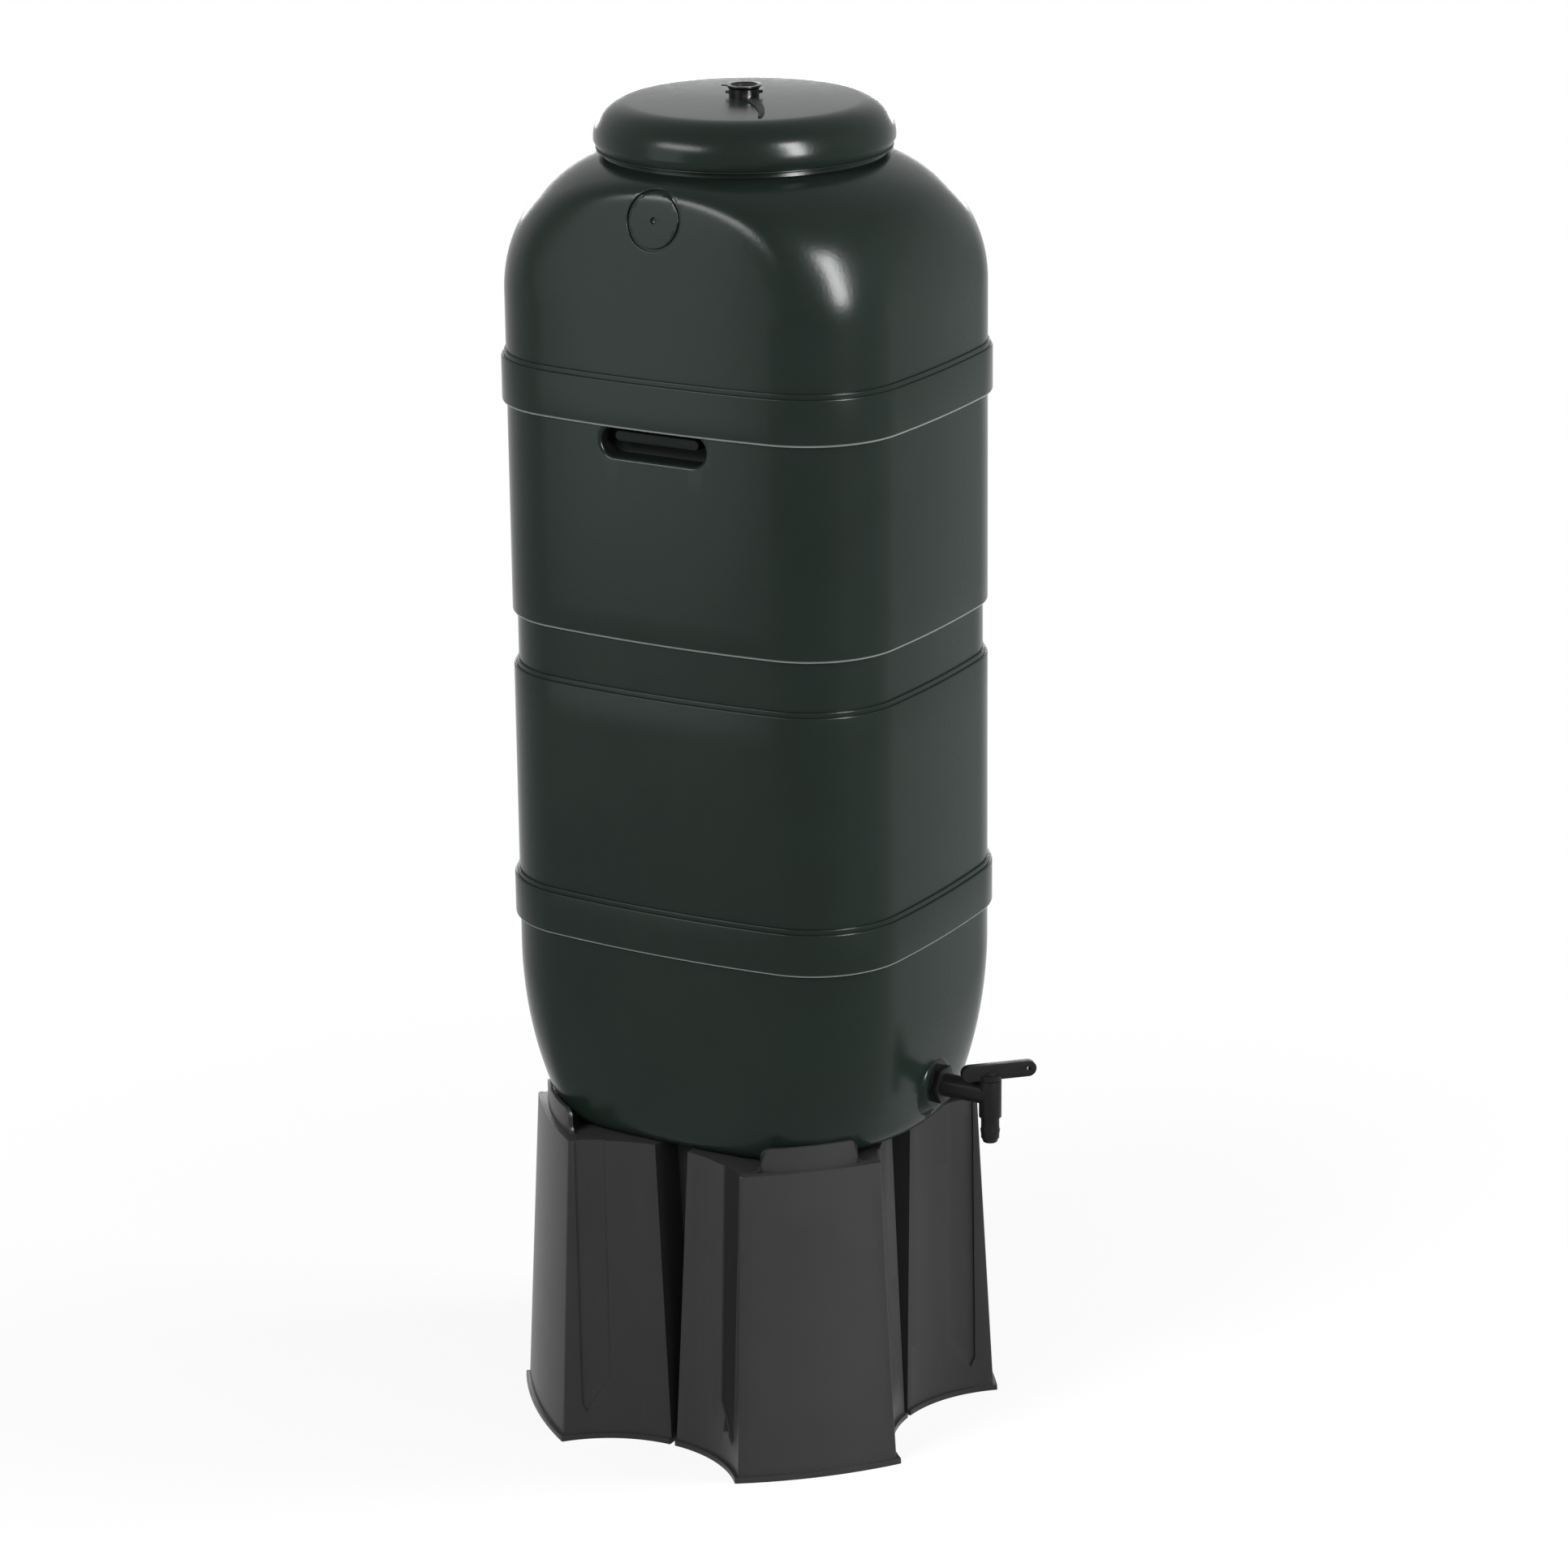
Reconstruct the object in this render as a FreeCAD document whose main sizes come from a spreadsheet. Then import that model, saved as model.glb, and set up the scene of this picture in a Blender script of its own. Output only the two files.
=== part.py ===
import FreeCAD, Part
import math
import os
from types import SimpleNamespace

import Sketcher
from FreeCAD import Placement, Rotation, Vector

# Slim garden water butt on its stand, in millimetres.
# +Z is up, the origin lies on the floor under the butt's upright axis,
# and the tap looks towards -Y.

os.makedirs("parts", exist_ok=True)
doc = FreeCAD.newDocument("water_butt")

# Driving sizes
DRIVING_SIZES = {
    # vessel plan: flat to bowed sides between big round corners
    "vessel_depth": 338,
    "vessel_width": 400,
    "side_bow_radius": 1100,
    "corner_radius": 88,
    "vessel_wall": 4,
    # vessel side view, each height counted from the one below it
    "seat_height": 299,
    "base_round": 30,
    "bowl_radius": 392,
    "bowl_height": 162.5,
    "girth_stand": 36,
    "lower_belt_gap": 32,
    "lower_belt_height": 45,
    "lower_panel_height": 204,
    "waist_height": 46.5,
    "upper_panel_height": 199,
    "upper_belt_height": 47.5,
    "dome_gap": 54,
    "dome_radius": 128,
    "neck_radius": 127,
    "neck_stand": 22,
    "side_clearance": 0.4,
    "lean_drop": 28,
    "lean_radius": 600,
    "shoulder_drop": 3,
    "shoulder_radius": 400,
    "shoulder_height": 129,
    # belts and the waist groove
    "belt_stand": 4.5,
    "belt_step_stand": 2.2,
    "belt_step_height": 4.5,
    "waist_depth": 4.5,
    # hand grips under the upper belt
    "grip_length": 116,
    "grip_height": 33,
    "grip_depth": 21,
    "grip_bar_length": 88,
    "grip_bar_height": 13,
    "grip_bar_sink": 8,
    # drill marks for a filler kit, high on both sides
    "mark_radius": 28,
    "mark_groove": 3,
    "mark_sink": 2.2,
    "mark_rise": 92.8,
    "mark_dimple": 3,
    # lid
    "lid_overhang": 10,
    "lid_skirt": 17.5,
    "lid_lip": 5.3,
    "lid_shoulder": 32.5,
    "lid_crown_radius": 3000,
    "lid_wall": 3,
    "lid_land_width": 9,
    "lid_seat_width": 8,
    "collar_hole": 12,
    # collar in the lid
    "collar_fit": 0.1,
    "collar_wall": 1.6,
    "collar_ledge": 1.8,
    "collar_flare": 2,
    "collar_height": 11,
    "collar_rim_height": 3.5,
    "collar_snap": 1.2,
    "collar_snap_height": 3,
    "spoke_width": 2.6,
    "spoke_height": 4,
    "collar_lug": 3,
    "strap_reach": 103,
    "strap_wide": 9,
    "strap_narrow": 2,
    "strap_sweep": 6,
    "strap_curve": 170,
    "strap_thickness": 1.2,
    # tap
    "tap_rise": 48.5,
    "tap_boss_setback": 3,
    "tap_boss_margin": 8,
    "tap_boss_thickness": 10.5,
    "shank_radius": 13,
    "shank_fit": 0.1,
    "tap_hole_fit": 0.5,
    "washer_width": 5,
    "tap_washer_thickness": 2.5,
    "tap_flange_stand": 0.5,
    "tap_flange_thickness": 6,
    "barrel_radius": 11,
    "waterway_radius": 7,
    "spout_stand": 55.5,
    "valve_wall": 3.6,
    "valve_rise": 13.8,
    "valve_drop": 22.5,
    "tail_radius": 8.6,
    "tail_length": 25,
    "tail_bore": 5,
    "barb_rise": 12.5,
    "barb_stand": 0.7,
    "backnut_width": 7,
    "backnut_thickness": 8,
    # lever and plug
    "plug_radius": 7,
    "plug_fit": 0.06,
    "plug_floor_drop": 16,
    "plug_port": 4.5,
    "lever_long": 44,
    "lever_short": 28,
    "lever_height": 15,
    "lever_thickness": 7,
    "lever_gap": 0.6,
    "lever_hole": 2,
    "lever_angle": 45,
    "ring_wire": 0.7,
    # stand
    "stand_wall": 4,
    "lip_clearance": 0.85,
    "lip_height": 23,
    "lip_half_width": 54,
    "lip_flare": 8,
    "lip_corner": 9,
    "lobe_margin": 4.45,
    "lobe_slope": 0.052,
    "lobe_face_bow": 420,
    "notch_depth": 58.5,
    "notch_round": 128,
    "notch_slope": 0.018,
    "notch_taper": 0.085,
    "slot_top_width": 36,
    "slot_floor_width": 5,
    "slot_depth": 43,
    "strip_depth": 2,
    "strip_width": 28,
    "strip_inset": 25,
    "strip_point": 26,
    "foot_stand": 3.5,
    "foot_height": 5,
    "rib_depth": 30,
}


class Size:
    """A length with its number and the formula that ties it to the sheet."""

    def __init__(self, value, text):
        self.value = value
        self.text = text

    def __add__(self, other):
        other = as_size(other)
        return Size(self.value + other.value, f"({self.text} + {other.text})")

    def __sub__(self, other):
        other = as_size(other)
        return Size(self.value - other.value, f"({self.text} - {other.text})")

    def __mul__(self, other):
        other = as_size(other)
        return Size(self.value * other.value, f"({self.text} * {other.text})")

    def __truediv__(self, other):
        other = as_size(other)
        return Size(self.value / other.value, f"({self.text} / {other.text})")

    def __neg__(self):
        return Size(-self.value, f"(0 - {self.text})")

    def __radd__(self, other):
        return as_size(other) + self

    def __rsub__(self, other):
        return as_size(other) - self

    def __rmul__(self, other):
        return as_size(other) * self


def as_size(item):
    """Take a Size as it is and give a plain number the same form."""
    return item if isinstance(item, Size) else Size(float(item), f"{item}")


def root(size):
    """Square root of a Size."""
    return Size(math.sqrt(size.value), f"sqrt({size.text})")


def leg(hypotenuse, side):
    """Other short side of a right triangle."""
    return root(hypotenuse * hypotenuse - side * side)


def write_sheet():
    """Put the driving sizes into the sheet and return them by name."""
    sheet = doc.addObject("Spreadsheet::Sheet", "sizes")
    named = {}
    for row, (alias, value) in enumerate(DRIVING_SIZES.items(), start=1):
        sheet.set(f"A{row}", alias)
        sheet.set(f"B{row}", str(value))
        sheet.setAlias(f"B{row}", alias)
        named[alias] = Size(float(value), f"sizes.{alias}")
    doc.recompute()
    return SimpleNamespace(**named)


s = write_sheet()


def stack_sizes():
    """Work out the heights and radii that follow from the driving sizes."""
    s.bowl_top = s.seat_height + s.bowl_height
    s.lean_start = s.bowl_top - s.lean_drop
    s.lower_belt_low = s.bowl_top + s.lower_belt_gap
    s.lower_belt_high = s.lower_belt_low + s.lower_belt_height
    s.waist_low = s.lower_belt_high + s.lower_panel_height
    s.waist_high = s.waist_low + s.waist_height
    s.upper_belt_low = s.waist_high + s.upper_panel_height
    s.upper_belt_high = s.upper_belt_low + s.upper_belt_height
    s.dome_start = s.upper_belt_high + s.dome_gap
    s.shoulder_start = s.dome_start - s.shoulder_drop
    s.shoulder_top = s.shoulder_start + s.shoulder_height
    s.neck_top = s.dome_start + s.dome_radius + s.neck_stand
    s.girth_radius = (s.vessel_depth + s.vessel_width) / 4 + s.girth_stand
    s.mark_height = s.shoulder_start + s.mark_rise
    s.lid_radius = s.neck_radius + s.lid_overhang
    s.lid_rim_height = s.neck_top - s.lid_skirt
    s.lid_girth_height = s.lid_rim_height + s.lid_lip
    s.lid_land_radius = s.collar_hole + s.lid_land_width
    s.collar_bore = s.collar_hole - s.collar_wall
    s.collar_radius = s.collar_hole + s.collar_ledge
    s.collar_rim_radius = s.collar_radius + s.collar_flare
    s.tap_height = s.seat_height + s.tap_rise
    s.tap_boss_face = s.vessel_width / 2 - s.tap_boss_setback
    s.tap_washer_radius = s.shank_radius + s.washer_width
    s.tap_boss_radius = s.tap_washer_radius + s.tap_boss_margin
    s.tap_flange_radius = s.tap_washer_radius + s.tap_flange_stand
    s.backnut_radius = s.shank_radius + s.backnut_width
    s.spout_reach = s.tap_boss_face + s.spout_stand
    s.valve_radius = s.plug_radius + s.valve_wall
    s.valve_top = s.tap_height + s.valve_rise
    s.valve_bottom = s.tap_height - s.valve_drop
    s.tail_end = s.valve_bottom - s.tail_length
    s.barb_height = s.tail_end + s.barb_rise
    s.plug_floor = s.tap_height - s.plug_floor_drop
    bowl_at_lip = leg(s.bowl_radius, s.bowl_height - s.lip_height)
    s.lip_bore = s.girth_radius - s.bowl_radius + bowl_at_lip + s.lip_clearance
    s.lip_radius = s.lip_bore + s.stand_wall
    s.lobe_reach = s.lip_radius + s.lobe_margin + s.seat_height * s.lobe_slope
    s.notch_reach = s.lobe_reach - s.notch_depth


stack_sizes()

# Planes that a sketch can lie in
FLAT = Rotation()
FRONT = Rotation(Vector(1, 0, 0), 90)
SIDE = Rotation(Vector(1, 1, 1), 120)
OUTWARD = Rotation(Vector(1, 0, 0), 90)


def bind(item, **links):
    """Tie properties of an object to formulas of the sheet."""
    for name, size in links.items():
        item.setExpression(name, as_size(size).text)
    return item


def place(item, rotation=FLAT, x=0, y=0, z=0):
    """Turn an object and tie its place to the sheet."""
    corner = [as_size(value) for value in (x, y, z)]
    item.Placement = Placement(Vector(*[size.value for size in corner]), rotation)
    for axis, size in zip("xyz", corner):
        if size.text.count("sizes"):
            item.setExpression(f"Placement.Base.{axis}", size.text)
    return item


def new_sketch(name, rotation=FLAT, **where):
    """Start a sketch of the document's own."""
    return place(doc.addObject("Sketcher::SketchObject", name), rotation, **where)


def body_sketch(body, name, role):
    """Start a sketch on one of a body's origin planes."""
    sketch = body.newObject("Sketcher::SketchObject", name)
    planes = [plane for plane in body.Origin.OriginFeatures if plane.Role == role]
    sketch.AttachmentSupport = (planes[0], [""])
    sketch.MapMode = "FlatFace"
    return sketch


def fix(sketch, kind, *args, size):
    """Add a driving constraint whose value follows the sheet."""
    number = sketch.addConstraint(Sketcher.Constraint(kind, *args, size.value))
    sketch.setExpression(f"Constraints[{number}]", size.text)


def arc_between(start, end, radius, turn):
    """Short arc from start to end, turning left for 1 and right for -1."""
    chord = end - start
    half = chord.Length / 2
    rise = math.sqrt(max(radius * radius - half * half, 0))
    left = Vector(-chord.y, chord.x, 0).normalize()
    centre = (start + end) * 0.5 + left * rise * turn
    first, last = (start, end) if turn > 0 else (end, start)
    angles = [math.atan2(point.y - centre.y, point.x - centre.x) for point in (first, last)]
    return Part.ArcOfCircle(Part.Circle(centre, Vector(0, 0, 1), radius), *angles)


def draw_loop(sketch, corners):
    """Close a loop of lines and arcs whose corners and radii follow the sheet.

    A corner is (across, up), or (across, up, radius, turn) where an arc leaves it.
    """
    points = [Vector(as_size(c[0]).value, as_size(c[1]).value, 0) for c in corners]
    count = len(corners)
    starts = []
    ends = []
    for index, corner in enumerate(corners):
        start, end = points[index], points[(index + 1) % count]
        if len(corner) == 4:
            radius, turn = as_size(corner[2]), corner[3]
            edge = sketch.addGeometry(arc_between(start, end, radius.value, turn), False)
            starts.append((edge, 1 if turn > 0 else 2))
            ends.append((edge, 2 if turn > 0 else 1))
        else:
            edge = sketch.addGeometry(Part.LineSegment(start, end), False)
            starts.append((edge, 1))
            ends.append((edge, 2))
    for index in range(count):
        sketch.addConstraint(
            Sketcher.Constraint("Coincident", *ends[index - 1], *starts[index]))
    for index, corner in enumerate(corners):
        for kind, size in (("DistanceX", as_size(corner[0])), ("DistanceY", as_size(corner[1]))):
            fix(sketch, kind, -1, 1, *starts[index], size=size)
        if len(corner) == 4:
            chord = (points[(index + 1) % count] - points[index]).Length
            if abs(chord - as_size(corner[2]).value * 2) < 0.001:
                # A half circle is held by its centre, as its radius follows from its ends.
                fix(sketch, "DistanceX", -1, 1, starts[index][0], 3, size=as_size(corner[0]))
            else:
                fix(sketch, "Radius", starts[index][0], size=as_size(corner[2]))
    return sketch


def extrude(name, sketch, length, back=0):
    """Push a sketch along its own normal."""
    solid = doc.addObject("Part::Extrusion", name)
    solid.Base = sketch
    solid.DirMode = "Normal"
    solid.Solid = True
    return bind(solid, LengthFwd=length, LengthRev=back)


def revolve(name, sketch, x=0, y=0):
    """Turn a sketch once round an upright axis."""
    solid = doc.addObject("Part::Revolution", name)
    solid.Source = sketch
    solid.Axis = Vector(0, 0, 1)
    bind(solid, **{"Base.x": x, "Base.y": y})
    solid.Angle = 360
    solid.Solid = True
    return solid


def loft(name, *sketches):
    """Straight walls from one outline to the next."""
    solid = doc.addObject("Part::Loft", name)
    solid.Sections = list(sketches)
    solid.Solid = True
    solid.Ruled = True
    return solid


def fuse(name, *pieces):
    """Join solids."""
    joined = doc.addObject("Part::MultiFuse", name)
    joined.Shapes = list(pieces)
    joined.Refine = True
    return joined


def common(name, *pieces):
    """Keep what all solids share."""
    shared = doc.addObject("Part::MultiCommon", name)
    shared.Shapes = list(pieces)
    return shared


def cut(name, base, *tools):
    """Take tools away from a solid one after the other."""
    tool = tools[0] if len(tools) == 1 else fuse(f"{name}_tools", *tools)
    rest = doc.addObject("Part::Cut", name)
    rest.Base = base
    rest.Tool = tool
    return rest


def cylinder(name, radius, height, rotation=FLAT, **where):
    """Round bar from its foot along its turned Z axis."""
    bar = doc.addObject("Part::Cylinder", name)
    bind(bar, Radius=radius, Height=height)
    return place(bar, rotation, **where)


def cone(name, foot_radius, head_radius, height, rotation=FLAT, **where):
    """Tapered round bar."""
    bar = doc.addObject("Part::Cone", name)
    bind(bar, Radius1=foot_radius, Radius2=head_radius, Height=height)
    return place(bar, rotation, **where)


def hexagon(name, radius, height, rotation=FLAT, **where):
    """Six-sided bar, its radius measured to the corners."""
    bar = doc.addObject("Part::Prism", name)
    bar.Polygon = 6
    bind(bar, Circumradius=radius, Height=height)
    return place(bar, rotation, **where)


def box(name, length, width, height, rotation=FLAT, **where):
    """Block from its low corner."""
    block = doc.addObject("Part::Box", name)
    bind(block, Length=length, Width=width, Height=height)
    return place(block, rotation, **where)


finished = []


def finish(item, label):
    """Name a finished sub-part and keep it for the export."""
    item.Label = label
    finished.append(item)
    return item


# Vessel

def vessel_outline(name, offset, z):
    """Plan of the vessel moved out by offset, as bowed sides and round corners."""
    half = [s.vessel_depth / 2 + offset, s.vessel_width / 2 + offset]
    bow = s.side_bow_radius + offset
    corner = s.corner_radius + offset
    sketch = new_sketch(name, z=z)
    reach = bow.value - corner.value
    inward = [size.value - bow.value for size in half]
    across, along = (size.value - corner.value for size in half)
    for _ in range(60):
        across = inward[0] + math.sqrt(reach ** 2 - along ** 2)
        along = inward[1] + math.sqrt(reach ** 2 - across ** 2)
    sides = []
    corners = []
    for quarter in range(4):
        middle = quarter * math.pi / 2
        heading = Vector(math.cos(middle), math.sin(middle), 0)
        facing = quarter % 2
        spread = math.atan2((along, across)[facing], (across, along)[facing] - inward[facing])
        centre = heading * inward[facing]
        circle = Part.Circle(centre, Vector(0, 0, 1), bow.value)
        sides.append(sketch.addGeometry(
            Part.ArcOfCircle(circle, middle - spread, middle + spread), False))
        centre = Vector(across * (1, -1, -1, 1)[quarter], along * (1, 1, -1, -1)[quarter], 0)
        other = math.atan2((across, along)[facing], (along, across)[facing] - inward[1 - facing])
        circle = Part.Circle(centre, Vector(0, 0, 1), corner.value)
        corners.append(sketch.addGeometry(
            Part.ArcOfCircle(circle, middle + spread, middle + math.pi / 2 - other), False))
    for quarter in range(4):
        following = sides[(quarter + 1) % 4]
        sketch.addConstraint(
            Sketcher.Constraint("Tangent", sides[quarter], 2, corners[quarter], 1))
        sketch.addConstraint(Sketcher.Constraint("Tangent", corners[quarter], 2, following, 1))
    for quarter in range(4):
        fix(sketch, "Radius", sides[quarter], size=bow)
        fix(sketch, "Radius", corners[quarter], size=corner)
        facing = quarter % 2
        axis = (-1, -2)[facing]
        sketch.addConstraint(Sketcher.Constraint("PointOnObject", sides[quarter], 3, axis))
        inset = half[facing] - bow
        signed = inset if quarter < 2 else -inset
        fix(sketch, ("DistanceX", "DistanceY")[facing], -1, 1, sides[quarter], 3, size=signed)
    return sketch


def vessel_slab(name, offset, low, high):
    """Slice of the vessel's plan between two heights."""
    return extrude(name, vessel_outline(f"{name}_plan", offset, low), high - low)


def vessel_turned(name, inset, top):
    """Turned form that rounds the bowl, the dome and the neck."""
    floor = s.seat_height + inset
    girth = s.girth_radius - inset
    base_round = s.base_round - inset
    bowl = s.bowl_radius - inset
    dome = s.dome_radius - inset
    neck = s.neck_radius - inset
    bowl_axis = girth - bowl
    reach = bowl - base_round
    drop = s.bowl_top - floor - base_round
    base_edge = bowl_axis + leg(reach, drop)
    share = bowl / reach
    meet_across = bowl_axis + (base_edge - bowl_axis) * share
    meet_up = s.bowl_top - drop * share
    neck_foot = s.dome_start + leg(dome, neck - (girth - dome))
    sketch = draw_loop(new_sketch(f"{name}_profile", FRONT), [
        (0, floor),
        (base_edge, floor, base_round, 1),
        (meet_across, meet_up, bowl, 1),
        (girth, s.bowl_top),
        (girth, s.dome_start, dome, 1),
        (neck, neck_foot),
        (neck, top),
        (0, top),
    ])
    return revolve(name, sketch)


def leaning_side(name, turns, half_width, inset):
    """Bowed side that is upright in its middle and leans in over the bowl and at the shoulder."""
    face = s.side_bow_radius + s.side_clearance - inset
    low = s.seat_height - s.base_round
    high = s.neck_top + s.base_round
    lean = s.lean_radius - inset
    foot = face - lean + leg(lean, s.lean_start - low)
    curve = s.shoulder_radius - inset
    crown = face - curve + leg(curve, s.shoulder_top - s.shoulder_start)
    axis = half_width - s.side_bow_radius
    heading = Rotation(Vector(0, 0, 1), 90 * turns)
    x = axis * (1, 0, -1, 0)[turns]
    y = axis * (0, 1, 0, -1)[turns]
    away = heading.multiply(Rotation(Vector(0, 0, 1), 180)).multiply(FRONT)
    sketch = draw_loop(new_sketch(f"{name}_profile", away, x=x, y=y), [
        (0, low),
        (foot, low, lean, 1),
        (face, s.lean_start),
        (face, s.shoulder_start, curve, 1),
        (crown, s.shoulder_top),
        (crown, high),
        (0, high),
    ])
    return revolve(name, sketch, x=x, y=y)


def vessel_form(name, inset, top):
    """Whole vessel as a solid, moved in by inset all over."""
    blank = common(
        f"{name}_blank",
        vessel_slab(f"{name}_prism", 0 - inset, s.seat_height - 1, top + 1),
        vessel_turned(f"{name}_turned", inset, top),
        *[leaning_side(f"{name}_side_{turns}", turns,
                       (s.vessel_depth / 2, s.vessel_width / 2)[turns % 2], inset)
          for turns in range(4)],
    )
    belts = []
    for belt, low, high in (
            ("upper_belt", s.upper_belt_low, s.upper_belt_high),
            ("lower_belt", s.lower_belt_low, s.lower_belt_high)):
        shelf = high - s.belt_step_height
        belts.append(vessel_slab(f"{name}_{belt}", s.belt_stand - inset, low + inset, shelf - inset))
        belts.append(vessel_slab(
            f"{name}_{belt}_step", s.belt_step_stand - inset, low + inset, high - inset))
    low, high = s.waist_low - inset, s.waist_high + inset
    collar = cut(
        f"{name}_waist",
        vessel_slab(f"{name}_waist_outside", s.belt_stand * 2, low, high),
        vessel_slab(f"{name}_waist_core", 0 - s.waist_depth - inset, low, high),
    )
    return cut(f"{name}_form", fuse(f"{name}_belted", blank, *belts), collar)


def pill(name, length, height, depth, x, z):
    """Bar with round ends, lying along Y, pushed in from a side of the vessel."""
    straight = (length - height) / 2
    radius = height / 2
    sketch = draw_loop(new_sketch(f"{name}_plan", SIDE, x=x, z=z), [
        (-straight, -radius),
        (straight, -radius, radius, 1),
        (straight, radius),
        (-straight, radius, radius, 1),
    ])
    return extrude(name, sketch, depth)


def grip(side):
    """Hand grip under the upper belt: a deep recess with a bar across its upper half."""
    name = "left" if side < 0 else "right"
    face = s.vessel_depth / 2
    middle = s.upper_belt_low - s.grip_height / 2
    bar_middle = s.upper_belt_low - s.grip_bar_height / 2
    wall = s.vessel_wall
    outside = s.belt_stand + 1

    def inward(part, length, height, depth, level, start):
        x = face - depth if side > 0 else start - face
        return pill(f"{name}_grip_{part}", length, height, depth - start, x, level)

    liner = inward("wall", s.grip_length + wall * 2, s.grip_height + wall * 2,
                   s.grip_depth + wall, middle, s.grip_depth / 2)
    recess = inward("recess", s.grip_length, s.grip_height, s.grip_depth, middle, 0 - outside)
    bar = inward("bar", s.grip_bar_length, s.grip_bar_height, s.grip_depth + wall,
                 bar_middle, s.grip_bar_sink)
    rim = inward("rim", s.grip_length + wall * 2, s.grip_height + wall * 2,
                 s.grip_depth, middle, 0 - s.grip_depth / 20)
    return [liner, rim], [cut(f"{name}_grip_room", recess, bar)]


def drill_mark(side):
    """Ring groove and centre dimple, square to the leaning wall at their middle."""
    name = "left" if side < 0 else "right"
    rise = s.mark_height - s.shoulder_start
    wall_axis = s.vessel_depth / 2 + s.side_clearance - s.shoulder_radius
    out = leg(s.shoulder_radius, rise)
    lean = math.degrees(math.asin((rise / s.shoulder_radius).value))
    rotation = Rotation(Vector(0, 1, 0), side * (90 - lean))
    deep = s.vessel_wall * 2
    bottom = s.shoulder_radius - s.mark_sink
    x = (wall_axis + out * bottom / s.shoulder_radius) * side
    z = s.shoulder_start + rise * bottom / s.shoulder_radius
    ring = cut(
        f"{name}_mark_ring",
        cylinder(f"{name}_mark_outer", s.mark_radius + s.mark_groove / 2, deep,
                 rotation, x=x, z=z),
        cylinder(f"{name}_mark_inner", s.mark_radius - s.mark_groove / 2, deep,
                 rotation, x=x, z=z),
    )
    dimple = cylinder(f"{name}_mark_dimple", s.mark_dimple, deep, rotation, x=x, z=z)
    return [ring, dimple]


def make_vessel():
    """Hollow blow-moulded tank with belts, grips, marks and the flat boss for the tap."""
    outer = vessel_form("outer", as_size(0), s.neck_top)
    inner = vessel_form("inner", s.vessel_wall, s.neck_top + s.vessel_wall)
    shell = cut("shell", outer, inner)
    boss = cylinder("tap_boss", s.tap_boss_radius, s.tap_boss_thickness, OUTWARD,
                    y=s.tap_boss_thickness - s.tap_boss_face, z=s.tap_height)
    walls = []
    cuts = [cylinder("tap_hole", s.shank_radius + s.tap_hole_fit, s.tap_boss_thickness * 4,
                     OUTWARD, y=s.tap_boss_thickness * 2 - s.tap_boss_face, z=s.tap_height)]
    for side in (-1, 1):
        grip_walls, grip_cuts = grip(side)
        walls += [common(f"{wall.Name}_inside", wall, outer) for wall in grip_walls]
        cuts += grip_cuts + drill_mark(side)
    finish(cut("vessel", fuse("vessel_blank", shell, boss, *walls), *cuts), "butt_body")


# Lid and its collar

def lid_sizes():
    """Circles of the lid's crown and shoulder and where they meet."""
    axis = s.lid_radius - s.lid_shoulder
    reach = s.lid_crown_radius - s.lid_shoulder
    centre = s.lid_girth_height - leg(reach, axis)
    return SimpleNamespace(axis=axis, reach=reach, centre=centre,
                           top=centre + s.lid_crown_radius)


def lid_curve(shape, inset):
    """Where the shoulder meets the crown on a surface moved in by inset."""
    share = (s.lid_crown_radius - inset) / shape.reach
    return shape.axis * share, shape.centre + (s.lid_girth_height - shape.centre) * share


def make_lid():
    """Turned dome with a round shoulder, resting by an inner ring on the neck."""
    shape = lid_sizes()
    crown = s.lid_crown_radius
    inner_crown = crown - s.lid_wall
    inner_shoulder = s.lid_shoulder - s.lid_wall
    meet = lid_curve(shape, as_size(0))
    inner_meet = lid_curve(shape, s.lid_wall)
    below = s.lid_girth_height - s.lid_rim_height
    seat_edge = s.neck_radius - s.lid_seat_width
    seat_rise = s.neck_top - s.lid_girth_height
    body = doc.addObject("PartDesign::Body", "lid_body")
    sketch = draw_loop(body_sketch(body, "lid_profile", "XZ_Plane"), [
        (shape.axis + leg(inner_shoulder, below), s.lid_rim_height),
        (shape.axis + leg(s.lid_shoulder, below), s.lid_rim_height, s.lid_shoulder, 1),
        (meet[0], meet[1], crown, 1),
        (s.lid_land_radius, shape.centre + leg(crown, s.lid_land_radius)),
        (s.lid_land_radius, shape.top),
        (s.collar_hole, shape.top),
        (s.collar_hole, shape.centre + leg(inner_crown, s.collar_hole), inner_crown, -1),
        (inner_meet[0], inner_meet[1], inner_shoulder, -1),
        (seat_edge, s.lid_girth_height + leg(inner_shoulder, seat_edge - shape.axis)),
        (seat_edge, s.neck_top),
        (shape.axis + leg(inner_shoulder, seat_rise), s.neck_top, inner_shoulder, -1),
    ])
    turned = body.newObject("PartDesign::Revolution", "lid_turned")
    turned.Profile = sketch
    turned.ReferenceAxis = (sketch, ["V_Axis"])
    turned.Angle = 360
    body.Tip = turned
    finish(body, "lid")


STRAP_HEADING = -139
LUG_HEADING = -59


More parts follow.
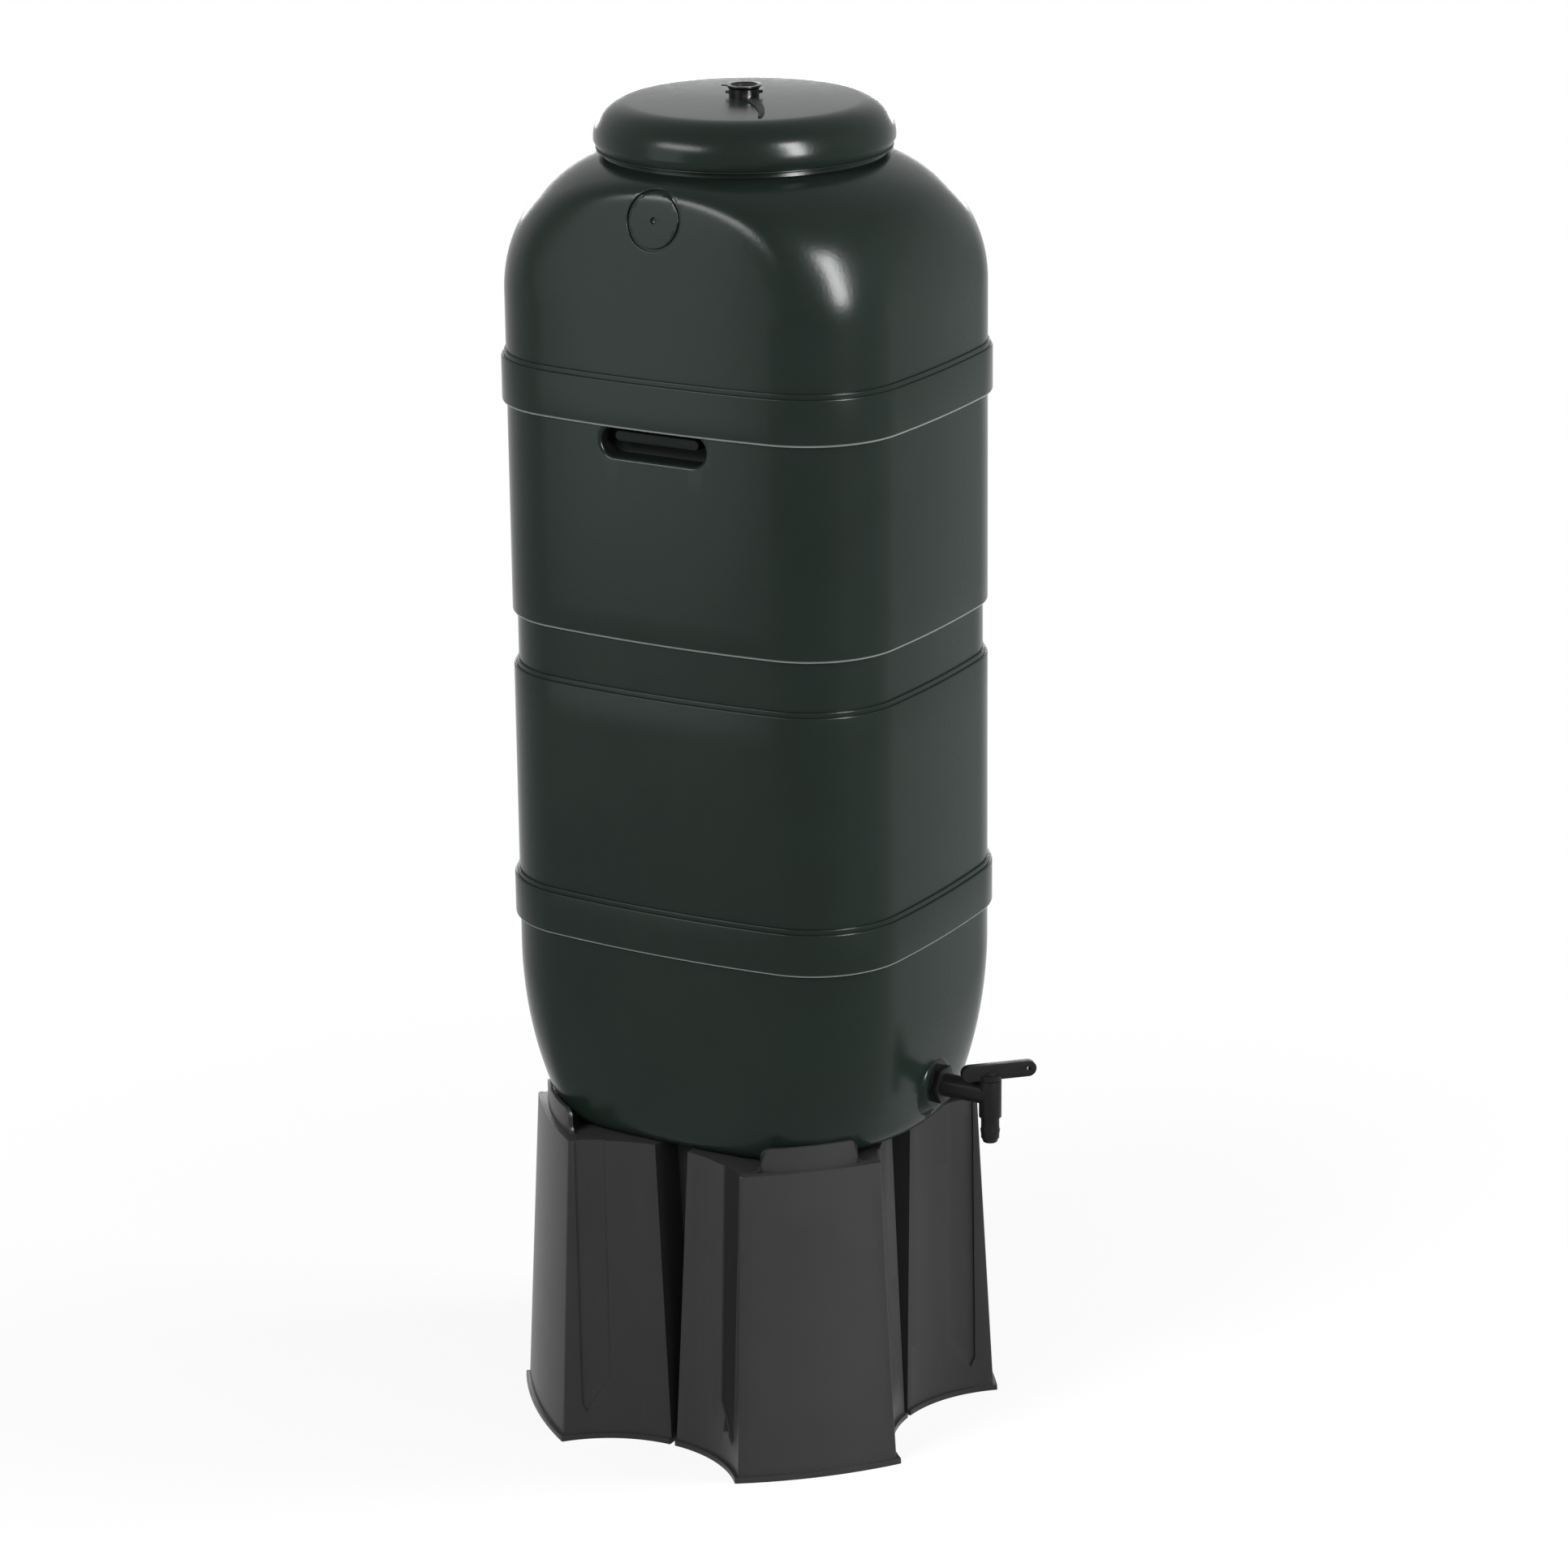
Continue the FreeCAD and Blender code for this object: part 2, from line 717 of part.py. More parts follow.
def make_collar():
    """Push-in collar with a flared rim, three spokes, lugs and its flat strap."""
    shape = lid_sizes()
    top = shape.top + s.collar_height
    flare_foot = top - s.collar_rim_height
    spigot = s.collar_hole - s.collar_fit
    under = shape.top - s.lid_wall - s.collar_fit
    snap = s.collar_hole + s.collar_snap
    ring = revolve("collar_ring", draw_loop(new_sketch("collar_profile", FRONT), [
        (s.collar_bore, under - s.collar_snap_height),
        (spigot, under - s.collar_snap_height),
        (snap, under - s.collar_snap_height / 2),
        (snap, under),
        (spigot, under),
        (spigot, shape.top),
        (s.collar_radius, shape.top),
        (s.collar_radius, flare_foot),
        (s.collar_rim_radius, top - s.collar_rim_height / 3),
        (s.collar_rim_radius, top),
        (s.collar_radius - 1, top),
        (s.collar_bore, flare_foot),
    ]))
    spokes = []
    for number in range(3):
        heading = STRAP_HEADING + 120 * number
        spoke = box(f"spoke_{number}", s.collar_bore + 0.5, s.spoke_width, s.spoke_height)
        turn = Rotation(Vector(0, 0, 1), heading)
        place(spoke, turn, z=flare_foot - s.spoke_height)
        lower = turn.multVec(Vector(0, -s.spoke_width.value / 2, 0))
        spoke.Placement.Base = spoke.Placement.Base + lower
        bind(spoke, **{"Placement.Base.x": s.spoke_width * (lower.x / s.spoke_width.value)})
        bind(spoke, **{"Placement.Base.y": s.spoke_width * (lower.y / s.spoke_width.value)})
        spokes.append(spoke)
    lugs = []
    for name, heading, reach, low, high in (
            ("tab", LUG_HEADING + 180, s.collar_rim_radius + s.collar_lug * 1.5,
             top - s.collar_rim_height / 3, top),
            ("near_lug", LUG_HEADING + 180, s.collar_radius + s.collar_lug,
             shape.top + s.collar_lug, shape.top + s.collar_lug * 2),
            ("far_lug", LUG_HEADING, s.collar_radius + s.collar_lug,
             shape.top + s.collar_lug, shape.top + s.collar_lug * 2)):
        foot = s.collar_radius - 1
        sketch = draw_loop(new_sketch(f"{name}_plan", Rotation(Vector(0, 0, 1), heading), z=low), [
            (foot, 0 - s.collar_lug),
            (reach, 0 - s.collar_lug / 4),
            (reach, s.collar_lug / 4),
            (foot, s.collar_lug),
        ])
        lugs.append(extrude(name, sketch, high - low))
    layer = s.lid_crown_radius + s.strap_thickness
    end_up = shape.centre + leg(s.lid_crown_radius, s.strap_reach)
    strap_skin = revolve("strap_skin", draw_loop(new_sketch("strap_profile", FRONT), [
        (s.lid_land_radius, shape.centre + leg(s.lid_crown_radius, s.lid_land_radius),
         s.lid_crown_radius, -1),
        (s.strap_reach * 0.94, shape.centre + leg(s.lid_crown_radius, s.strap_reach * 0.94)),
        (s.strap_reach * 0.94, shape.centre + leg(layer, s.strap_reach * 0.94), layer, 1),
        (s.lid_land_radius, shape.centre + leg(layer, s.lid_land_radius)),
    ]))
    strap_plan = draw_loop(
        new_sketch("strap_plan", Rotation(Vector(0, 0, 1), STRAP_HEADING), z=end_up - 10), [
            (s.collar_radius, 0 - s.strap_wide / 2, s.strap_curve, -1),
            (s.strap_reach, 0 - s.strap_sweep - s.strap_narrow / 2),
            (s.strap_reach, s.strap_narrow / 2 - s.strap_sweep, s.strap_curve * 0.8, 1),
            (s.collar_radius, s.strap_wide / 2),
        ])
    strap = common("strap", strap_skin, extrude("strap_blank", strap_plan, as_size(40)))
    root_plan = draw_loop(
        new_sketch("strap_root_plan", Rotation(Vector(0, 0, 1), STRAP_HEADING), z=shape.top), [
            (s.collar_radius - 1, 0 - s.strap_wide / 2),
            (s.lid_land_radius + 0.5, 0 - s.strap_wide / 2),
            (s.lid_land_radius + 0.5, s.strap_wide / 2),
            (s.collar_radius - 1, s.strap_wide / 2),
        ])
    strap_root = extrude("strap_root", root_plan, s.strap_thickness)
    finish(fuse("collar", ring, strap, strap_root, *spokes, *lugs), "lid_collar")


# Tap, its seals and its lever

def ring(name, outer, inner, thickness, y):
    """Flat ring on the tap's level axis, from y outwards."""
    solid = cylinder(f"{name}_disc", outer, thickness, OUTWARD, y=y, z=s.tap_height)
    hole = cylinder(f"{name}_hole", inner, thickness * 3, OUTWARD, y=y + thickness, z=s.tap_height)
    return cut(f"{name}_ring", solid, hole)


def make_tap_seals():
    """Two rubber washers and the backnut on the threaded shank."""
    bore = s.shank_radius + s.shank_fit
    face = 0 - s.tap_boss_face
    inner_face = face + s.tap_boss_thickness
    finish(ring("outer_washer", s.tap_washer_radius, bore, s.tap_washer_thickness, face),
           "tap_washer_outer")
    washer_back = inner_face + s.tap_washer_thickness
    finish(ring("inner_washer", s.tap_washer_radius, bore, s.tap_washer_thickness, washer_back),
           "tap_washer_inner")
    nut_back = washer_back + s.backnut_thickness
    nut = hexagon("backnut_hexagon", s.backnut_radius, s.backnut_thickness, OUTWARD,
                  y=nut_back, z=s.tap_height)
    hole = cylinder("backnut_hole", bore, s.backnut_thickness * 3, OUTWARD,
                    y=nut_back + s.backnut_thickness, z=s.tap_height)
    finish(cut("backnut", nut, hole), "tap_backnut")


def make_tap_body():
    """Barrel with a hexagon flange, an upright valve chamber and a hose tail."""
    flange_face = 0 - s.tap_boss_face - s.tap_washer_thickness
    spout = 0 - s.spout_reach
    inner_end = (0 - s.tap_boss_face + s.tap_boss_thickness + s.tap_washer_thickness
                 + s.backnut_thickness + s.tap_washer_thickness)
    solids = [
        cylinder("shank", s.shank_radius, inner_end - flange_face, OUTWARD,
                 y=inner_end, z=s.tap_height),
        hexagon("tap_flange", s.tap_flange_radius, s.tap_flange_thickness, OUTWARD,
                y=flange_face, z=s.tap_height),
        cylinder("barrel", s.barrel_radius, flange_face - spout, OUTWARD,
                 y=flange_face, z=s.tap_height),
        cylinder("valve_chamber", s.valve_radius, s.valve_top - s.valve_bottom,
                 y=spout, z=s.valve_bottom),
        cylinder("hose_tail", s.tail_radius, s.valve_bottom - s.tail_end,
                 y=spout, z=s.tail_end),
        cone("hose_barb", s.tail_radius - 0.4, s.tail_radius + s.barb_stand,
             s.barb_height - s.tail_end - 4, y=spout, z=s.tail_end + 4),
    ]
    end_ring = cylinder("tail_end_blank", s.tail_radius * 2, as_size(4), y=spout, z=s.tail_end)
    end_cone = cone("tail_end_cone", s.tail_radius - 2, s.tail_radius - 0.4, as_size(4),
                    y=spout, z=s.tail_end)
    bores = [
        cylinder("waterway", s.waterway_radius, inner_end - spout, OUTWARD,
                 y=inner_end, z=s.tap_height),
        cylinder("plug_bore", s.plug_radius, s.valve_top - s.plug_floor,
                 y=spout, z=s.plug_floor),
        cylinder("tail_bore", s.tail_bore, s.plug_floor - s.tail_end,
                 y=spout, z=s.tail_end),
    ]
    finish(cut("tap", fuse("tap_blank", *solids), cut("tail_taper", end_ring, end_cone), *bores),
           "tap_body")


def ring_levels():
    """Middle heights of the two O-rings, just clear of the plug's port."""
    gap = s.waterway_radius + s.ring_wire * 2
    return {"lower": s.tap_height - gap, "upper": s.tap_height + gap}


def make_lever():
    """Lever bar with a hanging hole, in one moulding with the ported plug."""
    spout = 0 - s.spout_reach
    radius = s.plug_radius - s.plug_fit
    bar_low = s.valve_top + s.lever_gap
    heading = Rotation(Vector(0, 0, 1), s.lever_angle.value - 90)
    end = s.lever_height / 2
    upright = heading.multiply(FRONT)
    plan = draw_loop(new_sketch("lever_plan", upright, y=spout, z=bar_low + end), [
        (end - s.lever_short, 0 - end),
        (s.lever_long - end, 0 - end, end, 1),
        (s.lever_long - end, end),
        (end - s.lever_short, end, end, 1),
    ])
    bar = extrude("lever_bar", plan, s.lever_thickness / 2, back=s.lever_thickness / 2)
    hole_plan = new_sketch("lever_hole_plan", upright, y=spout, z=bar_low + end)
    hole_plan.addGeometry(Part.Circle(Vector(0, 0, 0), Vector(0, 0, 1), 1), False)
    fix(hole_plan, "Radius", 0, size=s.lever_hole)
    fix(hole_plan, "DistanceX", -1, 1, 0, 3, size=s.lever_long - end)
    hole_plan.addConstraint(Sketcher.Constraint("PointOnObject", 0, 3, -1))
    hole = extrude("lever_hole", hole_plan, s.lever_thickness, back=s.lever_thickness)
    plug = cylinder("plug", radius, bar_low + end - s.plug_floor - s.plug_fit,
                    y=spout, z=s.plug_floor + s.plug_fit)
    cap = cylinder("plug_cap", s.valve_radius, s.lever_height / 3, y=spout, z=bar_low)
    port = cylinder("plug_port", s.plug_port, s.plug_radius * 4,
                    heading.multiply(Rotation(Vector(0, 1, 0), 90)), z=s.tap_height)
    reach = s.plug_radius * 2
    along = heading.multVec(Vector(1, 0, 0))
    port.setExpression("Placement.Base.x", (reach * -along.x).text)
    port.setExpression("Placement.Base.y", (spout - reach * along.y).text)
    outlet = cylinder("plug_outlet", s.plug_port, s.tap_height - s.plug_floor,
                      y=spout, z=s.plug_floor)
    grooves = []
    for name, level in ring_levels().items():
        width = s.ring_wire * 2 + 0.2
        blank = cylinder(f"{name}_groove_blank", s.plug_radius * 2, width,
                         y=spout, z=level - width / 2)
        core = cylinder(f"{name}_groove_core", radius - s.ring_wire * 2 - 0.02, width,
                        y=spout, z=level - width / 2)
        grooves.append(cut(f"{name}_groove", blank, core))
    finish(cut("lever", fuse("lever_blank", bar, plug, cap), hole, port, outlet, *grooves),
           "tap_lever")
    for name, level in ring_levels().items():
        middle = radius - s.ring_wire
        flank = s.ring_wire * math.tan(math.pi / 8)
        section = draw_loop(new_sketch(f"{name}_ring_section", FRONT, y=spout, z=level), [
            (middle + s.ring_wire, 0 - flank),
            (middle + s.ring_wire, flank),
            (middle + flank, s.ring_wire),
            (middle - flank, s.ring_wire),
            (middle - s.ring_wire, flank),
            (middle - s.ring_wire, 0 - flank),
            (middle - flank, 0 - s.ring_wire),
            (middle + flank, 0 - s.ring_wire),
        ])
        finish(revolve(f"{name}_ring", section, y=spout), f"plug_o_ring_{name}")


# Stand

def leaning_bar(name, radius, reach, heading, slope, taper):
    """Upright round bar whose axis leans in with a slope, reach being its axis at the floor."""
    drop = s.stand_wall * 20
    turn = Rotation(Vector(0, 0, 1), heading)
    out = turn.multVec(Vector(1, 0, 0))
    foot = reach + drop * slope
    height = s.seat_height + drop * 2
    foot_radius = radius - drop * taper
    bar = cone(name, foot_radius, foot_radius + height * taper, height,
               x=foot * out.x, y=foot * out.y, z=0 - drop)
    lean = Rotation(turn.multVec(Vector(0, -1, 0)), math.degrees(math.atan(slope.value)))
    bar.Placement = Placement(bar.Placement.Base, lean)
    bar.setExpression("Placement.Rotation.Angle", f"atan({slope.text})")
    return bar


def stand_form(name, low, high, offset):
    """Four leaning lobes with flared hollows between them, moved out by offset."""
    span = s.lobe_reach * 3
    slab = box(f"{name}_slab", span, span, high - low, x=0 - span / 2, y=0 - span / 2, z=low)
    no_taper = s.lobe_slope * 0
    faces = [leaning_bar(f"{name}_face_{turns}", s.lobe_face_bow + offset,
                         s.lobe_reach - s.lobe_face_bow, 45 + 90 * turns, s.lobe_slope, no_taper)
             for turns in range(4)]
    notches = [leaning_bar(f"{name}_notch_{turns}", s.notch_round - offset,
                           s.notch_reach + s.notch_round, 90 * turns,
                           s.notch_slope - s.notch_taper, s.notch_taper)
               for turns in range(4)]
    return cut(name, common(f"{name}_block", slab, *faces), *notches)


def side_strips(turns):
    """Shallow pointed strips beside both upright edges of a lobe's face."""
    turn = Rotation(Vector(0, 0, 1), 45 + 90 * turns).multiply(FRONT)
    outer = s.lobe_reach - s.strip_inset
    inner = outer - s.strip_width
    plan = draw_loop(new_sketch(f"strip_{turns}_plan", turn), [
        (inner, s.seat_height + 1),
        (inner, s.strip_point + s.strip_width * 1.3),
        (outer - s.strip_width / 6, s.strip_point),
        (outer, s.strip_point + s.strip_width / 3),
        (outer, s.seat_height + 1),
    ])
    return extrude(f"strip_{turns}", plan, s.lobe_reach, back=s.lobe_reach)


def slot(name, turns, extra):
    """Wedge between two lobes, narrow at the floor and wide at the deck."""
    sections = []
    outer = s.notch_reach + s.foot_stand * 2
    inner = s.notch_reach - s.slot_depth - extra
    turn = Rotation(Vector(0, 0, 1), 90 * turns)
    for level, z, width in (("low", as_size(-2), s.slot_floor_width),
                            ("high", s.seat_height + 2, s.slot_top_width)):
        half = width / 2 + extra
        sections.append(draw_loop(new_sketch(f"{name}_{level}_plan", turn, z=z), [
            (inner, 0 - half), (outer, 0 - half), (outer, half), (inner, half)]))
    return loft(name, *sections)


def lip(turns):
    """Low wall on a lobe, part of a ring round the butt, with a flared foot and round corners."""
    turn = Rotation(Vector(0, 0, 1), 45 + 90 * turns).multiply(SIDE)
    half, flare, corner = s.lip_half_width, s.lip_flare, s.lip_corner
    top = half - flare
    plan = draw_loop(new_sketch(f"lip_{turns}_plan", turn, z=s.seat_height), [
        (0 - half, 0 - s.stand_wall / 2),
        (half, 0 - s.stand_wall / 2),
        (half, 0, flare, -1),
        (top, flare),
        (top, s.lip_height - corner, corner, 1),
        (top - corner, s.lip_height),
        (corner - top, s.lip_height, corner, 1),
        (0 - top, s.lip_height - corner),
        (0 - top, flare, flare, -1),
        (0 - half, 0),
    ])
    return extrude(f"lip_{turns}", plan, s.lip_radius * 1.5)


def make_stand():
    """One hollow moulding: leaning lobes, a deck, lips that hold the bowl and a foot rim."""
    wall = s.stand_wall
    deck_under = s.seat_height - wall
    outer = stand_form("stand_outer", as_size(0), s.seat_height, as_size(0))
    inner = stand_form("stand_inner", as_size(-1), deck_under, 0 - wall)
    foot = stand_form("foot", as_size(0), s.foot_height, s.foot_stand)
    low = s.seat_height - wall / 2
    ring = cut("lip_ring",
               cylinder("lip_outside", s.lip_radius, s.lip_height + wall, z=low),
               cylinder("lip_inside", s.lip_radius - wall, s.lip_height + wall * 2, z=low - 1))
    lips = common("lips", ring, fuse("lip_blocks", *[lip(turns) for turns in range(4)]))
    slots = [slot(f"slot_{turns}", turns, as_size(0)) for turns in range(4)]
    slot_walls = [slot(f"slot_wall_{turns}", turns, wall) for turns in range(4)]
    ribs = []
    for number, heading in enumerate((45, 135)):
        turn = Rotation(Vector(0, 0, 1), heading)
        plan = draw_loop(new_sketch(f"rib_{number}_plan", turn, z=deck_under - s.rib_depth), [
            (0 - s.lobe_reach, 0 - wall / 2), (s.lobe_reach, 0 - wall / 2),
            (s.lobe_reach, wall / 2), (0 - s.lobe_reach, wall / 2)])
        ribs.append(extrude(f"rib_{number}", plan, s.rib_depth + wall / 2))
    hollow = cut("stand_hollow", inner, *slot_walls, *ribs)
    core = stand_form("strip_core", as_size(-1), s.seat_height + wall, 0 - s.strip_depth)
    strips = cut("strips", fuse("strip_blanks", *[side_strips(turns) for turns in range(4)]), core)
    finish(cut("stand_moulding", fuse("stand_blank", outer, foot, lips), hollow, strips, *slots),
           "stand")


def check_document():
    """Stop if any object failed or any finished sub-part isn't one sound shape."""
    doc.recompute()
    failed = [item.Name for item in doc.Objects if {"Invalid", "Error"} & set(item.State)]
    if failed:
        raise RuntimeError(f"did not rebuild: {failed}")
    for item in finished:
        if item.Shape.isNull() or not item.Shape.isValid() or not item.Shape.Solids:
            raise RuntimeError(f"{item.Label} has no sound solid")


def export_parts():
    """Write one STEP file for each finished sub-part."""
    for item in finished:
        shape = item.Shape
        shape.exportStep(f"parts/{item.Label}.step")
        bounds = shape.BoundBox
        print(item.Label, len(shape.Solids), "solid", round(shape.Volume / 1000, 1), "cm3",
              [round(value, 1) for value in (bounds.XMin, bounds.YMin, bounds.ZMin,
                                             bounds.XMax, bounds.YMax, bounds.ZMax)])


make_vessel()
make_lid()
make_collar()
make_tap_seals()
make_tap_body()
make_lever()
make_stand()
check_document()
export_parts()
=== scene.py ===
import math

import bmesh
import bpy
from mathutils import Matrix, Vector


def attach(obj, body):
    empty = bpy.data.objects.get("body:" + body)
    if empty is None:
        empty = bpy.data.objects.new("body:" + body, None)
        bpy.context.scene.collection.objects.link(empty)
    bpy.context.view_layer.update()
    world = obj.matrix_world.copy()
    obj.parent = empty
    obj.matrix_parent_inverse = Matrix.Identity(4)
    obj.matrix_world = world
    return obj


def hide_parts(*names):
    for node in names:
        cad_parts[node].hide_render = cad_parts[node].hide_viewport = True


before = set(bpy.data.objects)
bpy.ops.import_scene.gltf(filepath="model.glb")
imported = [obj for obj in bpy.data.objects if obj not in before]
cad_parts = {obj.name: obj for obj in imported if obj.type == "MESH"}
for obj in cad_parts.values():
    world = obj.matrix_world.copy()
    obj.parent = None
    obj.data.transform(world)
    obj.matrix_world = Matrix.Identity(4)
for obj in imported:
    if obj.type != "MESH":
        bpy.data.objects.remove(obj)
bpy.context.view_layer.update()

bl_info = {
    "name": "Water butt",
    "version": (1, 0, 0),
    "blender": (4, 5, 0),
    "location": "View3D > Sidebar > Water butt",
    "description": "Finishes of a slim garden water butt on its stand, with its stage and camera",
    "category": "Object",
}

# Lengths below are in millimetres, as a mould maker's drawing has them.
MM = 0.001


# Colours and shader nodes

def linear(code):
    """Turn an sRGB hex colour into the linear colour that shaders expect."""
    channels = [int(code[place:place + 2], 16) / 255 for place in (1, 3, 5)]
    return [value / 12.92 if value <= 0.04045 else ((value + 0.055) / 1.055) ** 2.4
            for value in channels] + [1.0]


def add_node(tree, kind, inputs=None, **settings):
    """Add one shader node, set it up, and feed its inputs from values or other outputs."""
    node = tree.nodes.new(kind)
    for name, value in settings.items():
        setattr(node, name, value)
    for name, value in (inputs or {}).items():
        if isinstance(value, bpy.types.NodeSocket):
            tree.links.new(value, node.inputs[name])
        else:
            node.inputs[name].default_value = value
    return node


def new_material(name):
    """Start a material with an empty node tree and a Principled shader."""
    material = bpy.data.materials.new(name)
    material.use_nodes = True
    tree = material.node_tree
    tree.nodes.clear()
    shader = add_node(tree, "ShaderNodeBsdfPrincipled")
    add_node(tree, "ShaderNodeOutputMaterial", {"Surface": shader.outputs["BSDF"]})
    return material, tree, shader


# Clouds in the colour are about 110 mm across, as pigment spreads in a thick moulding.
CLOUD_SCALE = 9.0


def moulded_plastic(name, low, high, roughness, gloss, grain_mm, grain_height):
    """Moulded plastic with a cloudy colour, uneven gloss and a fine grain from the mould.

    The grain's width and height are in millimetres.
    """
    material, tree, shader = new_material(name)
    place = add_node(tree, "ShaderNodeTexCoord").outputs["Object"]
    cloud = add_node(tree, "ShaderNodeTexNoise",
                     {"Vector": place, "Scale": CLOUD_SCALE, "Detail": 5.0, "Roughness": 0.6})
    mix = add_node(tree, "ShaderNodeMix", {"Factor": cloud.outputs["Fac"]}, data_type="RGBA")
    mix.inputs[6].default_value = linear(low)
    mix.inputs[7].default_value = linear(high)
    tree.links.new(mix.outputs[2], shader.inputs["Base Color"])
    sheen = add_node(tree, "ShaderNodeMapRange",
                     {"Value": cloud.outputs["Fac"], "From Min": 0.3, "From Max": 0.7,
                      "To Min": roughness - 0.02, "To Max": roughness + 0.03})
    tree.links.new(sheen.outputs["Result"], shader.inputs["Roughness"])
    grain = add_node(tree, "ShaderNodeTexNoise",
                     {"Vector": place, "Scale": 1000 / grain_mm / 2, "Detail": 2.0})
    bump = add_node(tree, "ShaderNodeBump",
                    {"Height": grain.outputs["Fac"], "Strength": 0.6,
                     "Distance": grain_height * MM})
    tree.links.new(bump.outputs["Normal"], shader.inputs["Normal"])
    shader.inputs["IOR"].default_value = 1.5
    shader.inputs["Specular IOR Level"].default_value = gloss
    return material


def cover(material, share, code, roughness):
    """Lay a second colour and roughness over a plastic where share is 1."""
    tree = material.node_tree
    shader = next(node for node in tree.nodes if node.type == "BSDF_PRINCIPLED")
    colour = shader.inputs["Base Color"].links[0].from_socket
    mix = add_node(tree, "ShaderNodeMix", {"Factor": share, 6: colour}, data_type="RGBA")
    mix.inputs[7].default_value = linear(code)
    tree.links.new(mix.outputs[2], shader.inputs["Base Color"])
    sheen = shader.inputs["Roughness"].links[0].from_socket
    blend = add_node(tree, "ShaderNodeMix", {0: share, 2: sheen, 3: roughness})
    tree.links.new(blend.outputs[0], shader.inputs["Roughness"])


def height_line(tree, height, middle, half):
    """1 in a thin level line at a height in millimetres, fading over its edges."""
    away = add_node(tree, "ShaderNodeMath", {0: height, 1: middle * MM}, operation="SUBTRACT")
    size = add_node(tree, "ShaderNodeMath", {0: away.outputs[0]}, operation="ABSOLUTE")
    line = add_node(tree, "ShaderNodeMapRange",
                    {"Value": size.outputs[0], "From Min": half * MM * 0.5,
                     "From Max": half * MM * 1.3, "To Min": 1.0, "To Max": 0.0})
    return line.outputs["Result"]


def tank_polyethylene(look):
    """Blow-moulded polyethylene: satin, waxy, with the light pebble of a sand-blasted mould.

    The real pebble is finer and is drawn this coarse to show at all.
    """
    return moulded_plastic("blow_moulded_polyethylene", look.tank_dark, look.tank_light,
                           look.tank_roughness, look.gloss, 1.8, 0.12)


def grip_painted_shade_share(tree, axes):
    """Share of painted shade in the grips: 1 at their bottom and 0 on the open wall, by depth
    below the bowed side.
    """
    across = add_node(tree, "ShaderNodeMath", {0: axes.outputs["Y"], 1: axes.outputs["Y"]},
                      operation="MULTIPLY")
    chord = add_node(tree, "ShaderNodeMath", {0: (BOW * MM) ** 2, 1: across.outputs[0]},
                     operation="SUBTRACT")
    reach = add_node(tree, "ShaderNodeMath", {0: chord.outputs[0]}, operation="SQRT")
    out = add_node(tree, "ShaderNodeMath", {0: axes.outputs["X"]}, operation="ABSOLUTE")
    face = add_node(tree, "ShaderNodeMath",
                    {0: reach.outputs[0], 1: (BOW - DEPTH_HALF) * MM}, operation="SUBTRACT")
    depth = add_node(tree, "ShaderNodeMath", {0: face.outputs[0], 1: out.outputs[0]},
                     operation="SUBTRACT")
    deep = add_node(tree, "ShaderNodeMapRange",
                    {"Value": depth.outputs[0], "From Min": GRIP_SHADE_DEPTHS[0] * MM,
                     "From Max": GRIP_SHADE_DEPTHS[1] * MM})
    beside = add_node(tree, "ShaderNodeMath", {0: axes.outputs["Y"]}, operation="ABSOLUTE")
    wide = add_node(tree, "ShaderNodeMath", {0: beside.outputs[0], 1: LINER_LENGTH / 2 * MM},
                    operation="LESS_THAN")
    level = height_line(tree, axes.outputs["Z"], GRIP_Z, GRIP_SHADE_HALF)
    inside = add_node(tree, "ShaderNodeMath", {0: wide.outputs[0], 1: level},
                      operation="MULTIPLY")
    painted_shade = add_node(tree, "ShaderNodeMath", {0: inside.outputs[0], 1: deep.outputs["Result"]},
                     operation="MULTIPLY")
    return painted_shade.outputs[0]


def tank_wall_polyethylene(look):
    """The tank's polyethylene, with painted highlight lines along its lower edges, and painted
    shade and a rougher finish deep in the grips.
    """
    material = tank_polyethylene(look)
    material.name = "blow_moulded_polyethylene_wall"
    tree = material.node_tree
    place = add_node(tree, "ShaderNodeTexCoord").outputs["Object"]
    axes = add_node(tree, "ShaderNodeSeparateXYZ", {0: place})
    lines = [height_line(tree, axes.outputs["Z"], middle, half)
             for middle, half in ((UPPER_BELT[0] + HIGHLIGHT_RISE, 1.3), (WAIST[1] + HIGHLIGHT_RISE, 1.3),
                                  (LOWER_BELT[0] + HIGHLIGHT_RISE, 1.0))]
    painted = lines[0]
    for line in lines[1:]:
        painted = add_node(tree, "ShaderNodeMath", {0: painted, 1: line},
                          operation="MAXIMUM").outputs[0]
    painted_highlight = add_node(tree, "ShaderNodeMath", {0: painted, 1: look.edge_highlight_strength}, operation="MULTIPLY")
    # Pale grey lines painted along the lower edges of the belts and the waist: a painted
    # highlight.
    cover(material, painted_highlight.outputs[0], "#8E9592", 0.3)
    # Near-black painted shade deep in the grips, which are also rougher there.
    cover(material, grip_painted_shade_share(tree, axes), "#050706", 0.7)
    return material


def stand_polypropylene(look, painted_shade=False):
    """Injection-moulded polypropylene: charcoal, smoother than the tank and without a tint."""
    if painted_shade:
        # The sunk strips are painted darker than the faces, a painted shade, and are rougher.
        return moulded_plastic("moulded_polypropylene_painted_shade", "#151515", "#1A1A1A", 0.6,
                               look.gloss, 1.2, 0.05)
    return moulded_plastic("moulded_polypropylene", look.stand_dark, look.stand_light,
                           look.stand_roughness, look.gloss, 1.4, 0.05)


def tap_nylon(look):
    """Injection-moulded nylon: near black, with a faint sheen on its round parts."""
    return moulded_plastic("moulded_nylon", "#171717", "#1E1E1E", look.tap_roughness,
                           look.gloss, 0.8, 0.03)


